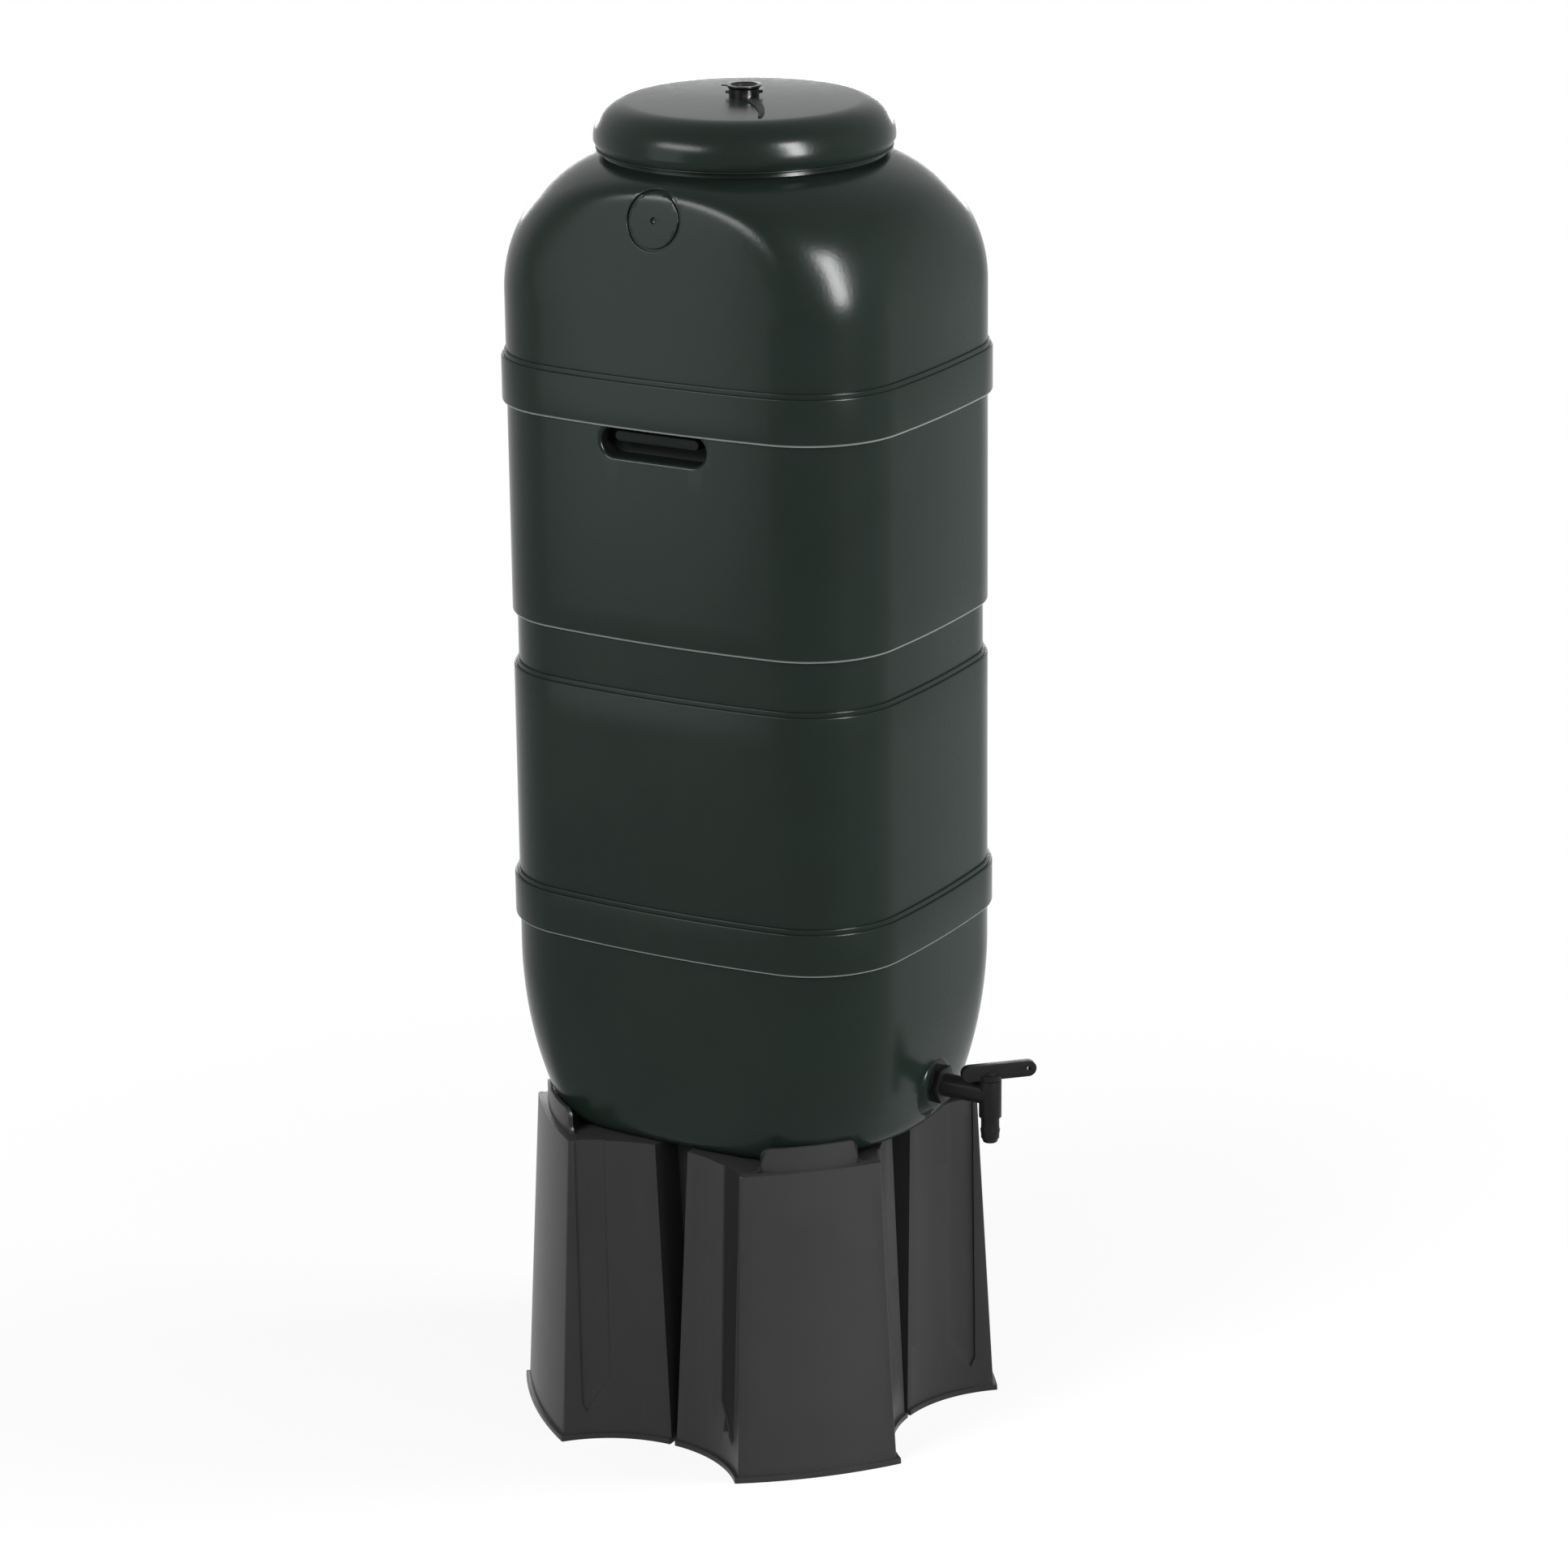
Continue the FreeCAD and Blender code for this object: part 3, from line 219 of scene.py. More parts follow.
def collar_polypropylene(look, shiny=False):
    """Soft moulded polypropylene: black, shiny on the collar and dull on its strap."""
    if shiny:
        return moulded_plastic("polished_polypropylene", "#101111", "#161717", 0.22, 0.3,
                               0.8, 0.02)
    return moulded_plastic("soft_polypropylene", "#141515", "#1B1C1C", 0.55, look.gloss,
                           0.8, 0.03)


def seal_rubber(look):
    """Moulded rubber: black and almost without gloss."""
    return moulded_plastic("moulded_rubber", "#0B0B0B", "#101010", 0.75, look.gloss, 0.8, 0.03)


def dress(nodes, material):
    """Give CAD nodes a finish."""
    for name in nodes:
        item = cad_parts[name]
        item.data.materials.clear()
        item.data.materials.append(material)


# Mesh helpers

def new_piece(name, shape, material, corner_angle=35):
    """Turn a bmesh drawn in millimetres into a smooth object in metres."""
    bmesh.ops.scale(shape, vec=(MM, MM, MM), verts=shape.verts)
    mesh = bpy.data.meshes.new(name)
    shape.to_mesh(mesh)
    shape.free()
    piece = bpy.data.objects.new(name, mesh)
    bpy.context.scene.collection.objects.link(piece)
    if material:
        mesh.materials.append(material)
    soften(mesh, corner_angle)
    return piece


def soften(mesh, corner_angle):
    """Shade a mesh smooth except at its sharp corners."""
    mesh.polygons.foreach_set("use_smooth", [True] * len(mesh.polygons))
    mesh.set_sharp_from_angle(angle=math.radians(corner_angle))
    mesh.update()


def apply_modifiers(piece, corner_angle=35):
    """Bake a piece's modifiers into its mesh."""
    graph = bpy.context.evaluated_depsgraph_get()
    graph.update()
    done = bpy.data.meshes.new_from_object(piece.evaluated_get(graph))
    piece.modifiers.clear()
    old = piece.data
    piece.data = done
    name = old.name
    bpy.data.meshes.remove(old)
    done.name = name
    soften(done, corner_angle)


def combine(piece, operation, shape):
    """Add a bmesh's volume to a piece or take it away, then drop the tool."""
    tool = new_piece(f"{piece.name}_tool", shape, None)
    change = piece.modifiers.new("change", "BOOLEAN")
    change.operation = operation
    change.solver = "EXACT"
    change.object = tool
    apply_modifiers(piece)
    spare = tool.data
    bpy.data.objects.remove(tool)
    bpy.data.meshes.remove(spare)


def close_ring(shape, edges):
    """Close a ring of edges with one flat face."""
    bmesh.ops.contextual_create(shape, geom=edges)


def stack_rings(rings, cap_first=True, cap_last=True):
    """Solid or sleeve from rings of corners, all with as many corners, one above the other."""
    shape = bmesh.new()
    made = bmesh.ops.create_circle(shape, segments=len(rings[0]), radius=1.0)["verts"]
    for vert, corner in zip(made, rings[0]):
        vert.co = corner
    edges = list(shape.edges)
    if cap_first:
        close_ring(shape, edges)
    ring = list(made)
    for corners in rings[1:]:
        fresh = bmesh.ops.extrude_edge_only(shape, edges=edges)["geom"]
        edges = [item for item in fresh if isinstance(item, bmesh.types.BMEdge)]
        verts = [item for item in fresh if isinstance(item, bmesh.types.BMVert)]
        new_set = set(verts)
        partner = {}
        for vert in verts:
            for edge in vert.link_edges:
                other = edge.other_vert(vert)
                if other not in new_set:
                    partner[other] = vert
        ring = [partner[vert] for vert in ring]
        for vert, corner in zip(ring, corners):
            vert.co = corner
        edges = [edge for edge in edges
                 if edge.verts[0] in new_set and edge.verts[1] in new_set]
    if cap_last:
        close_ring(shape, edges)
    bmesh.ops.recalc_face_normals(shape, faces=shape.faces)
    return shape


# Tank

DEPTH_HALF, WIDTH_HALF = 169.0, 200.0
BOW, CORNER, WALL = 1100.0, 88.0, 4.0
BASE_Z, BOWL_TOP, DOME_Z, NECK_Z = 299.0, 461.5, 1089.5, 1239.5
GIRTH, BOWL, DOME, NECK, BASE_ROUND = 220.5, 392.0, 128.0, 127.0, 30.0
LEAN_Z, LEAN, SHOULDER_Z, SHOULDER = 433.5, 600.0, 1086.5, 400.0
UPPER_BELT = (988.0, 1035.5)
LOWER_BELT = (493.5, 538.5)
WAIST = (742.5, 789.0)
BELT_STAND, STEP_STAND, STEP_HEIGHT = 4.5, 2.2, 4.5
# The painted highlight along each lower edge is centred this far above the edge's own height.
HIGHLIGHT_RISE = 0.8


def soft_min(first, second, reach):
    """Smaller of two lengths, with a round change from one to the other."""
    if reach <= 0:
        return min(first, second)
    share = max(reach - abs(first - second), 0) / reach
    return min(first, second) - share * share * reach / 4


def ray_to_circle(across, along, centre_x, centre_y, radius):
    """Distance from the axis to a circle's far side in a level direction."""
    dot = across * centre_x + along * centre_y
    return dot + math.sqrt(dot * dot - centre_x ** 2 - centre_y ** 2 + radius ** 2)


def corner_centre():
    """Centre of the plan's corner circle, tangent to both bowed sides."""
    reach = BOW - CORNER
    across, along = DEPTH_HALF - CORNER, WIDTH_HALF - CORNER
    for _ in range(40):
        across = DEPTH_HALF - BOW + math.sqrt(reach ** 2 - along ** 2)
        along = WIDTH_HALF - BOW + math.sqrt(reach ** 2 - across ** 2)
    return across, along


CORNER_X, CORNER_Y = corner_centre()
SPREAD_X = math.atan2(CORNER_Y, CORNER_X + BOW - DEPTH_HALF)
SPREAD_Y = math.atan2(CORNER_X, CORNER_Y + BOW - WIDTH_HALF)


def plan_radius(angle, stand):
    """Distance from the axis to the plan's outline, moved out by stand."""
    across, along = abs(math.cos(angle)), abs(math.sin(angle))
    slope = math.atan2(along, across)
    reach = CORNER + stand
    first = math.atan2(CORNER_Y + reach * math.sin(SPREAD_X),
                       CORNER_X + reach * math.cos(SPREAD_X))
    last = math.atan2(CORNER_Y + reach * math.cos(SPREAD_Y),
                      CORNER_X + reach * math.sin(SPREAD_Y))
    if slope < first:
        return ray_to_circle(across, along, DEPTH_HALF - BOW, 0, BOW + stand)
    if slope > last:
        return ray_to_circle(across, along, 0, WIDTH_HALF - BOW, BOW + stand)
    return ray_to_circle(across, along, CORNER_X, CORNER_Y, reach)


def lean_at(z):
    """How far the sides lean in at a height."""
    if z < LEAN_Z:
        return LEAN - math.sqrt(LEAN ** 2 - (LEAN_Z - z) ** 2)
    if z > SHOULDER_Z:
        return SHOULDER - math.sqrt(SHOULDER ** 2 - (z - SHOULDER_Z) ** 2)
    return 0.0


def turned_radius(z, inset):
    """Radius of the turned bowl, dome and neck, or None beside the upright walls."""
    if z < BOWL_TOP:
        radius = BOWL - inset
        foot = GIRTH - BOWL
        round_up = BASE_ROUND - inset
        low = BASE_Z + inset
        edge = foot + math.sqrt((radius - round_up) ** 2 - (BOWL_TOP - low - round_up) ** 2)
        meet = BOWL_TOP - (BOWL_TOP - low - round_up) * radius / (radius - round_up)
        if z < meet:
            drop = low + round_up - z
            return edge + math.sqrt(max(round_up ** 2 - drop ** 2, 0))
        return foot + math.sqrt(radius ** 2 - (BOWL_TOP - z) ** 2)
    if z > DOME_Z:
        rise = min(z - DOME_Z, DOME - inset)
        return max(GIRTH - DOME + math.sqrt((DOME - inset) ** 2 - rise ** 2), NECK - inset)
    return None


# Rounding at the base, and how widely the turned forms and the sides melt together
BASE_EDGE = 12.0
CORNER_BLEND = 35.0
SIDE_BLEND = 8.0

# Facets of a quarter of the plan: half a wide side, the bend, half a narrow side
SIDE_STEPS, BEND_STEPS, FRONT_STEPS = 20, 24, 15


def wall_radius(angle, z, stand, inset):
    """Distance from the axis to the wall: bowed sides met by the turned bowl and dome."""
    radius = plan_radius(angle, stand - inset)
    turned = turned_radius(z, inset)
    if turned is not None:
        # The growth keeps the corners on the turned form while the sides blend into it.
        short = max(GIRTH + stand - inset - turned, 0)
        growth = 0.0
        if short < CORNER_BLEND:
            growth = CORNER_BLEND + short - 2 * math.sqrt(CORNER_BLEND * short)
        radius = soft_min(radius, turned + growth, CORNER_BLEND)
    lean = lean_at(z)
    across, along = abs(math.cos(angle)), abs(math.sin(angle))
    if lean > 0:
        soft = SIDE_BLEND * lean / (lean + 4)
        for centre_x, centre_y in ((DEPTH_HALF - BOW, 0), (0, WIDTH_HALF - BOW)):
            side = ray_to_circle(across, along, centre_x, centre_y, BOW - inset - lean)
            radius = soft_min(radius + soft / 12, side, soft)
    low = BASE_Z + inset
    if z < low + BASE_EDGE:
        drop = BASE_EDGE - (z - low)
        radius -= BASE_EDGE - math.sqrt(max(BASE_EDGE ** 2 - drop ** 2, 0))
    if z > DOME_Z + DOME / 2:
        radius = max(radius, NECK - inset)
    return radius


def plan_angles():
    """Directions of the plan's corners, close together round its bends."""
    bend_x = CORNER_X + CORNER * math.cos(SPREAD_X)
    bend_y = CORNER_Y + CORNER * math.sin(SPREAD_X)
    quarter = [math.atan2(bend_y * step / SIDE_STEPS, DEPTH_HALF) * math.atan2(bend_y, bend_x)
               / math.atan2(bend_y, DEPTH_HALF) for step in range(SIDE_STEPS)]
    for step in range(BEND_STEPS + 1):
        turn = SPREAD_X + (math.pi / 2 - SPREAD_X - SPREAD_Y) * step / BEND_STEPS
        quarter.append(math.atan2(CORNER_Y + CORNER * math.sin(turn),
                                  CORNER_X + CORNER * math.cos(turn)))
    last = quarter[-1]
    for step in range(1, FRONT_STEPS):
        quarter.append(last + (math.pi / 2 - last) * step / FRONT_STEPS)
    mirrored = [0.0] + [math.pi / 2 - value for value in reversed(quarter[1:])]
    full = []
    for turns in range(4):
        part = quarter if turns % 2 == 0 else mirrored
        full += [value + turns * math.pi / 2 for value in part]
    return full


def round_edge(z, stand, radius, start, end, steps=4):
    """Corner of a belt's profile: points on an arc about a centre at (stand, z)."""
    points = []
    for step in range(steps + 1):
        turn = math.radians(start + (end - start) * step / steps)
        points.append((z + radius * math.sin(turn), stand + radius * math.cos(turn)))
    return points


def belt_rows(low, high):
    """Profile of a raised belt: round lower edge, face, and a step with round edges on top."""
    shelf = high - STEP_HEIGHT
    rows = [(low - 3, 0), (low, 0)]
    rows += round_edge(low + 2.2, BELT_STAND - 2.2, 2.2, -90, 0, 6)
    rows += round_edge(shelf - 1.2, BELT_STAND - 1.2, 1.2, 0, 90)
    rows += [(shelf, STEP_STAND)]
    rows += round_edge(high - 1.0, STEP_STAND - 1.0, 1.0, 0, 90)
    rows += [(high, 0), (high + 3, 0)]
    return rows


def waist_rows(low, high):
    """Profile of the waist groove: a step with round edges below, a round edge above."""
    shelf = low - STEP_HEIGHT
    deep = -BELT_STAND
    rows = round_edge(shelf - 1.2, -1.2, 1.2, 0, 90)
    rows += [(shelf, deep + STEP_STAND)]
    rows += round_edge(low - 1.0, deep + STEP_STAND - 1.0, 1.0, 0, 90)
    rows += [(low, deep), (low + 3, deep), (high - 3, deep), (high, deep)]
    rows += round_edge(high + 2.2, -2.2, 2.2, -90, 0, 6)
    return rows


def spread(start, end, count):
    """Heights between two heights, without either."""
    return [start + (end - start) * step / count for step in range(1, count)]


def tank_rows():
    """Heights of the outer wall from the base to the neck, each with its stand."""
    rows = []
    for step in range(9):
        rows.append((BASE_Z + BASE_EDGE * (1 - math.cos(math.radians(11.25 * step))), 0))
    rows += [(z, 0) for z in spread(BASE_Z + BASE_EDGE, BOWL_TOP, 32)]
    rows += [(z, 0) for z in (BOWL_TOP, BOWL_TOP + 10.5, BOWL_TOP + 20.5)]
    rows += belt_rows(*LOWER_BELT)
    rows += [(z, 0) for z in spread(LOWER_BELT[1] + 3, WAIST[0] - 8, 6)]
    rows += waist_rows(*WAIST)
    rows += [(z, 0) for z in spread(WAIST[1] + 3, UPPER_BELT[0] - 3, 8)]
    rows += belt_rows(*UPPER_BELT)
    rows += [(z, 0) for z in spread(UPPER_BELT[1] + 3, DOME_Z, 6)]
    steep = math.asin(math.sqrt(DOME ** 2 - (NECK - GIRTH + DOME) ** 2) / DOME)
    for step in range(61):
        rows.append((DOME_Z + DOME * math.sin(steep * step / 60), 0))
    return rows


def inner_rows():
    """Heights of the inner wall from the neck down to the base, each with its stand."""
    rows = []
    # The inner dome ends just below the neck.
    steep = math.asin(0.955)
    for step in range(14, 0, -1):
        rows.append((DOME_Z + (DOME - WALL) * math.sin(steep * step / 14), 0))
    for low, high in (UPPER_BELT, WAIST, LOWER_BELT):
        stand = -BELT_STAND if low == WAIST[0] else BELT_STAND
        if stand < 0:
            rows += [(high + WALL, 0), (high + WALL, stand), (low - 2 * WALL, stand),
                     (low - 2 * WALL, 0)]
        else:
            rows += [(high - 2 * WALL, 0), (high - 2 * WALL, stand), (low + WALL, stand),
                     (low + WALL, 0)]
    floor = BASE_Z + WALL
    rows += [(z, 0) for z in spread(BOWL_TOP + 10, floor + 8, 12)]
    rows += [(floor + 4, 0), (floor + 1, 0), (floor, 0)]
    return rows


def make_tank_shell():
    """Closed wall of the tank: outside from the base to the neck, then down the inside."""
    angles = plan_angles()

    def level_ring(z, radii):
        return [Vector((math.cos(angle) * radius, math.sin(angle) * radius, z))
                for angle, radius in zip(angles, radii)]

    def wall_ring(z, stand, inset):
        return level_ring(z, [wall_radius(angle, z, stand, inset) for angle in angles])

    rings = [wall_ring(z, stand, 0) for z, stand in tank_rows()]
    for z, radius in ((NECK_Z - 1, NECK), (NECK_Z, NECK - 1), (NECK_Z, NECK - WALL + 1),
                      (NECK_Z - 1, NECK - WALL)):
        rings.append(level_ring(z, [radius] * len(angles)))
    rings += [wall_ring(z, stand, WALL) for z, stand in inner_rows()]
    return stack_rings(rings)


def side_surface(y, z):
    """How far the wide side of the tank stands from the axis plane, at a point of it."""
    x = DEPTH_HALF
    for _ in range(6):
        radius = wall_radius(math.atan2(y, x), z, 0, 0)
        x = math.sqrt(radius * radius - y * y)
    return x


def pill_rings(side, middle_z, length, height, levels, top=None):
    """Rings of a bar with round ends, sunk into a wide side; a level is (depth, growth)."""
    straight = (length - height) / 2
    rings = []
    for depth, growth in levels:
        ring = []
        for step in range(64):
            turn = math.tau * (step + 0.5) / 64
            radius = height / 2 + growth
            y = math.cos(turn) * radius + math.copysign(straight, math.cos(turn))
            z = middle_z + math.sin(turn) * radius
            if top is not None:
                z = min(z, top)
            ring.append(Vector((side * (side_surface(y, z) - depth), y, z)))
        rings.append(ring)
    return rings


def lip_levels(radius, depth, outside=3.0, steps=6):
    """Levels of a recess whose lip is round: from outside the wall down to its depth."""
    levels = [(-outside, radius * 1.02), (-0.12, radius * 1.01)]
    for step in range(1, steps + 1):
        turn = math.pi / 2 * step / steps
        levels.append((radius * (1 - math.cos(turn)), radius * (1 - math.sin(turn))))
    levels += [(depth - 2, 0), (depth - 0.6, -0.6), (depth, -2)]
    return levels


# Grips: the recess, the liner behind it, the bar across it and the depths and height of its
# painted shade
GRIP_LENGTH, GRIP_HEIGHT, GRIP_DEPTH, GRIP_Z = 109.0, 28.0, 21.0, 971.5
GRIP_LIP = 4.0
LINER_LENGTH, LINER_HEIGHT = 124.0, 41.0
BAR_LENGTH, BAR_HEIGHT, BAR_SINK, BAR_Z = 88.0, 10.5, 8.0, 978.0
GRIP_SHADE_DEPTHS, GRIP_SHADE_HALF = (2.0, 11.0), 18.0

# Drill marks for a filler kit
MARK_Z, MARK_RADIUS, MARK_GROOVE, MARK_DEEP = 1177.0, 26.3, 2.4, 2.0

# Flat boss round the tap's hole
TAP_Z, TAP_HOLE = 347.5, 13.5
BOSS_FACE, BOSS_FOOT, BOSS_TOP, BOSS_DEEP, BOSS_EDGE = 197.0, 34.0, 23.5, 12.0, 4.0


def mark_ring(side, radius, growth, depth):
    """Ring of points about a drill mark's middle, sunk square to the leaning wall."""
    ring = []
    lean = math.asin((MARK_Z - SHOULDER_Z) / SHOULDER)
    for step in range(96):
        turn = math.tau * step / 96
        y = math.cos(turn) * (radius + growth)
        z = MARK_Z + math.sin(turn) * (radius + growth) * math.cos(lean)
        out = side_surface(y, z)
        ring.append(Vector((side * (out - depth * math.cos(lean)), y,
                            z - depth * math.sin(lean))))
    return ring


def groove_section(half, lip, deep):
    """Section of a groove with round lips: (growth, depth) round a closed loop."""
    points = [(-half - lip, -1.5), (-half - lip, -0.05)]
    for step in range(1, 4):
        turn = math.pi / 2 * step / 3
        points.append((-half - lip + lip * math.sin(turn), lip * (1 - math.cos(turn))))
    points += [(-half, deep - 0.3), (-half + 0.3, deep)]
    return points + [(-growth, depth) for growth, depth in reversed(points)]


def mark_groove_tool(side):
    """Ring-shaped tool that presses a drill mark's groove."""
    section = groove_section(MARK_GROOVE / 2, 0.7, MARK_DEEP)
    rings = [mark_ring(side, MARK_RADIUS, growth, depth) for growth, depth in section]
    shape = stack_rings(rings + [rings[0]], cap_first=False, cap_last=False)
    bmesh.ops.remove_doubles(shape, verts=shape.verts, dist=0.001)
    bmesh.ops.recalc_face_normals(shape, faces=shape.faces)
    return shape


def join_shapes(*shapes):
    """Put several bmeshes into the first."""
    first = shapes[0]
    for shape in shapes[1:]:
        spare = bpy.data.meshes.new("spare")
        shape.to_mesh(spare)
        first.from_mesh(spare)
        shape.free()
        bpy.data.meshes.remove(spare)
    return first


def turned_shape(profile, steps, axis=(0, 0, 1), centre=(0, 0, 0)):
    """Closed turned form from a profile of (radius, height), closed on itself."""
    shape = bmesh.new()
    verts = [shape.verts.new((radius, 0, height)) for radius, height in profile]
    edges = [shape.edges.new((verts[index - 1], verts[index])) for index in range(len(verts))]
    bmesh.ops.spin(shape, geom=verts + edges, cent=(0, 0, 0), axis=(0, 0, 1),
                   angle=math.tau, steps=steps, use_merge=True, use_duplicate=False)
    bmesh.ops.remove_doubles(shape, verts=shape.verts, dist=0.0005)
    bmesh.ops.recalc_face_normals(shape, faces=shape.faces)
    turn = Vector((0, 0, 1)).rotation_difference(Vector(axis)).to_matrix()
    bmesh.ops.rotate(shape, verts=shape.verts, cent=(0, 0, 0), matrix=turn)
    bmesh.ops.translate(shape, verts=shape.verts, vec=centre)
    return shape


def round_profile(points, radius_by_index):
    """Profile with some of its corners rounded by short arcs."""
    result = []
    count = len(points)
    for index, point in enumerate(points):
        radius = radius_by_index.get(index, 0)
        if not radius:
            result.append(point)
            continue
        before = Vector(points[index - 1]) - Vector(point)
        after = Vector(points[(index + 1) % count]) - Vector(point)
        half = before.angle(after) / 2
        reach = radius / math.tan(half)
        start = Vector(point) + before.normalized() * reach
        end = Vector(point) + after.normalized() * reach
        middle = Vector(point) + (before.normalized() + after.normalized()).normalized() * (
            radius / math.sin(half))
        first = start - middle
        last = end - middle
        for step in range(7):
            share = step / 6
            spoke = (first * (1 - share) + last * share).normalized() * radius
            result.append(tuple(middle + spoke))
    return result


def make_tank(material):
    """Tank with its grips, drill marks, tap boss and tap hole."""
    piece = new_piece("tank_wall", make_tank_shell(), material)
    middle = UPPER_BELT[0] - GRIP_HEIGHT / 2
    liners = []
    rooms = []
    bars = []
    for side in (-1, 1):
        liners.append(stack_rings(pill_rings(
            side, GRIP_Z, LINER_LENGTH, LINER_HEIGHT,
            [(1.5, 0), (GRIP_DEPTH + WALL - 2, 0), (GRIP_DEPTH + WALL, -2)])))
        rooms.append(stack_rings(pill_rings(
            side, middle, GRIP_LENGTH, GRIP_HEIGHT, lip_levels(GRIP_LIP, GRIP_DEPTH),
            top=UPPER_BELT[0] - 0.3)))
        bars.append(stack_rings(pill_rings(
            side, BAR_Z, BAR_LENGTH, BAR_HEIGHT,
            [(GRIP_DEPTH + 2, 0), (BAR_SINK + 1.6, 0), (BAR_SINK + 0.8, -0.2),
             (BAR_SINK + 0.2, -0.8), (BAR_SINK, -1.6)])))
        rooms.append(mark_groove_tool(side))
        rooms.append(stack_rings([mark_ring(side, radius, 0, depth) for radius, depth in (
            (3.4, -1.0), (3.3, -0.05), (2.9, 0.3), (2.6, 1.6), (2.0, 2.0))]))
    back, front = BOSS_DEEP - BOSS_FACE, -BOSS_FACE
    boss = turned_shape(round_profile(
        [(0.001, back), (BOSS_FOOT, back), (BOSS_TOP, front), (0.001, front)],
        {2: BOSS_EDGE}), 96, axis=(0, 1, 0), centre=(0, 0, TAP_Z))
    hole = turned_shape([(0.001, front - 5), (TAP_HOLE, front - 5), (TAP_HOLE, front + 20),
                         (0.001, front + 20)], 64, axis=(0, 1, 0), centre=(0, 0, TAP_Z))
    combine(piece, "UNION", join_shapes(boss, *liners))
    combine(piece, "DIFFERENCE", join_shapes(hole, *rooms))
    combine(piece, "UNION", join_shapes(*bars))
    return piece


# Lid

LID_RADIUS, LID_SHOULDER, LID_CROWN, LID_WALL = 137.0, 32.5, 3000.0, 3.0
LID_HOLE, LID_BEAD = 12.0, 0.8
# The rim comes down close to the dome.
LID_RIM, LID_GIRTH = 1217.0, 1227.3
# The collar ends here, and its strap lies further out.
COLLAR_REACH = 17.5


def lid_profile():
    """Section of the lid, from its hole over the crown to the rim and back inside."""
    axis = LID_RADIUS - LID_SHOULDER
    centre = LID_GIRTH - math.sqrt((LID_CROWN - LID_SHOULDER) ** 2 - axis ** 2)

    def crown(radius, inset):
        return centre + math.sqrt((LID_CROWN - inset) ** 2 - radius ** 2)

    top = centre + LID_CROWN
    profile = [(LID_HOLE, top - 0.6), (LID_HOLE + 0.6, top)]
    meet = axis * LID_CROWN / (LID_CROWN - LID_SHOULDER)
    profile += [(radius, crown(radius, 0)) for radius in (22, 40, 60, 80, 95, meet)]
    tilt = math.degrees(math.acos(axis / (LID_CROWN - LID_SHOULDER)))
    for step in range(1, 33):
        turn = math.radians(tilt + (-4 - tilt) * step / 32)
        profile.append((axis + LID_SHOULDER * math.cos(turn),
                        LID_GIRTH + LID_SHOULDER * math.sin(turn)))
    bead = LID_BEAD
    out = axis + math.sqrt(LID_SHOULDER ** 2 - (LID_GIRTH - LID_RIM) ** 2)
    profile += [(out - 1.4, LID_RIM + 2 * bead + 0.9), (out - 1.5, LID_RIM + 2 * bead + 0.1)]
    for step in range(9):
        turn = math.radians(80 - 200 * step / 8)
        profile.append((out - bead + 0.2 + bead * math.cos(turn),
                        LID_RIM + bead + bead * math.sin(turn)))
    inner = LID_SHOULDER - LID_WALL
    profile += [(axis + math.sqrt(inner ** 2 - (LID_GIRTH - LID_RIM) ** 2), LID_RIM)]
    for step in range(1, 9):
        turn = math.radians(-8 + 32 * step / 8)
        profile.append((axis + inner * math.cos(turn), LID_GIRTH + inner * math.sin(turn)))
    seat = NECK - 8
    profile += [(NECK + 3, NECK_Z), (seat, NECK_Z),
                (seat, LID_GIRTH + math.sqrt(inner ** 2 - (seat - axis) ** 2))]
    profile += [(110, LID_GIRTH + math.sqrt(inner ** 2 - (110 - axis) ** 2))]
    profile += [(radius, crown(radius, LID_WALL)) for radius in (100, 80, 60, 40, 22, LID_HOLE)]
    return profile


def make_lid(material):
    """Turned lid with a round shoulder and a fine bead along its rim."""
    return new_piece("lid_shell", turned_shape(lid_profile(), 160), material, 40)


# Pieces that keep their solid's form and get round edges

def solid_copy(node):
    """Copy a CAD node's form in millimetres, with its flat faces made whole."""
    shape = bmesh.new()
    shape.from_mesh(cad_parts[node].data)
    bmesh.ops.remove_doubles(shape, verts=shape.verts, dist=0.00001)
    bmesh.ops.dissolve_limit(shape, angle_limit=math.radians(0.5), verts=shape.verts,
                             edges=shape.edges)
    bmesh.ops.scale(shape, vec=(1 / MM, 1 / MM, 1 / MM), verts=shape.verts)
    return shape


def round_edges(piece, width, corner_angle=30, segments=3):
    """Round a piece's sharp edges."""
    edge = piece.modifiers.new("edge", "BEVEL")
    edge.width = width * MM
    edge.segments = segments
    edge.limit_method = "ANGLE"
    edge.angle_limit = math.radians(corner_angle)
    edge.use_clamp_overlap = True
    apply_modifiers(piece, corner_angle + 5)


def rounded(node, name, width, material, corner_angle=30, segments=3):
    """Copy a CAD node's form and round its edges."""
    piece = new_piece(name, solid_copy(node), material)
    round_edges(piece, width, corner_angle, segments)
    return piece


# Stand: where a lobe's outer corners stand, how far they may be rounded, and its strips
LOBE_EDGE, LOBE_SIDE, LOBE_CORNER, DECK = 197.0, 50.0, 7.0, 300.0
STRIP_INNER, STRIP_OUTER, STRIP_LOW = 165.5, 196.0, 20.0


def lobe_reach(place):
    """Distance along the lobe's own axis, which points at a corner of the tank."""
    return (abs(place.x) + abs(place.y)) * math.sqrt(0.5)


def aside(place):
    """Distance from the middle of the lobe's outer face."""
    return abs(abs(place.x) - abs(place.y)) * math.sqrt(0.5)


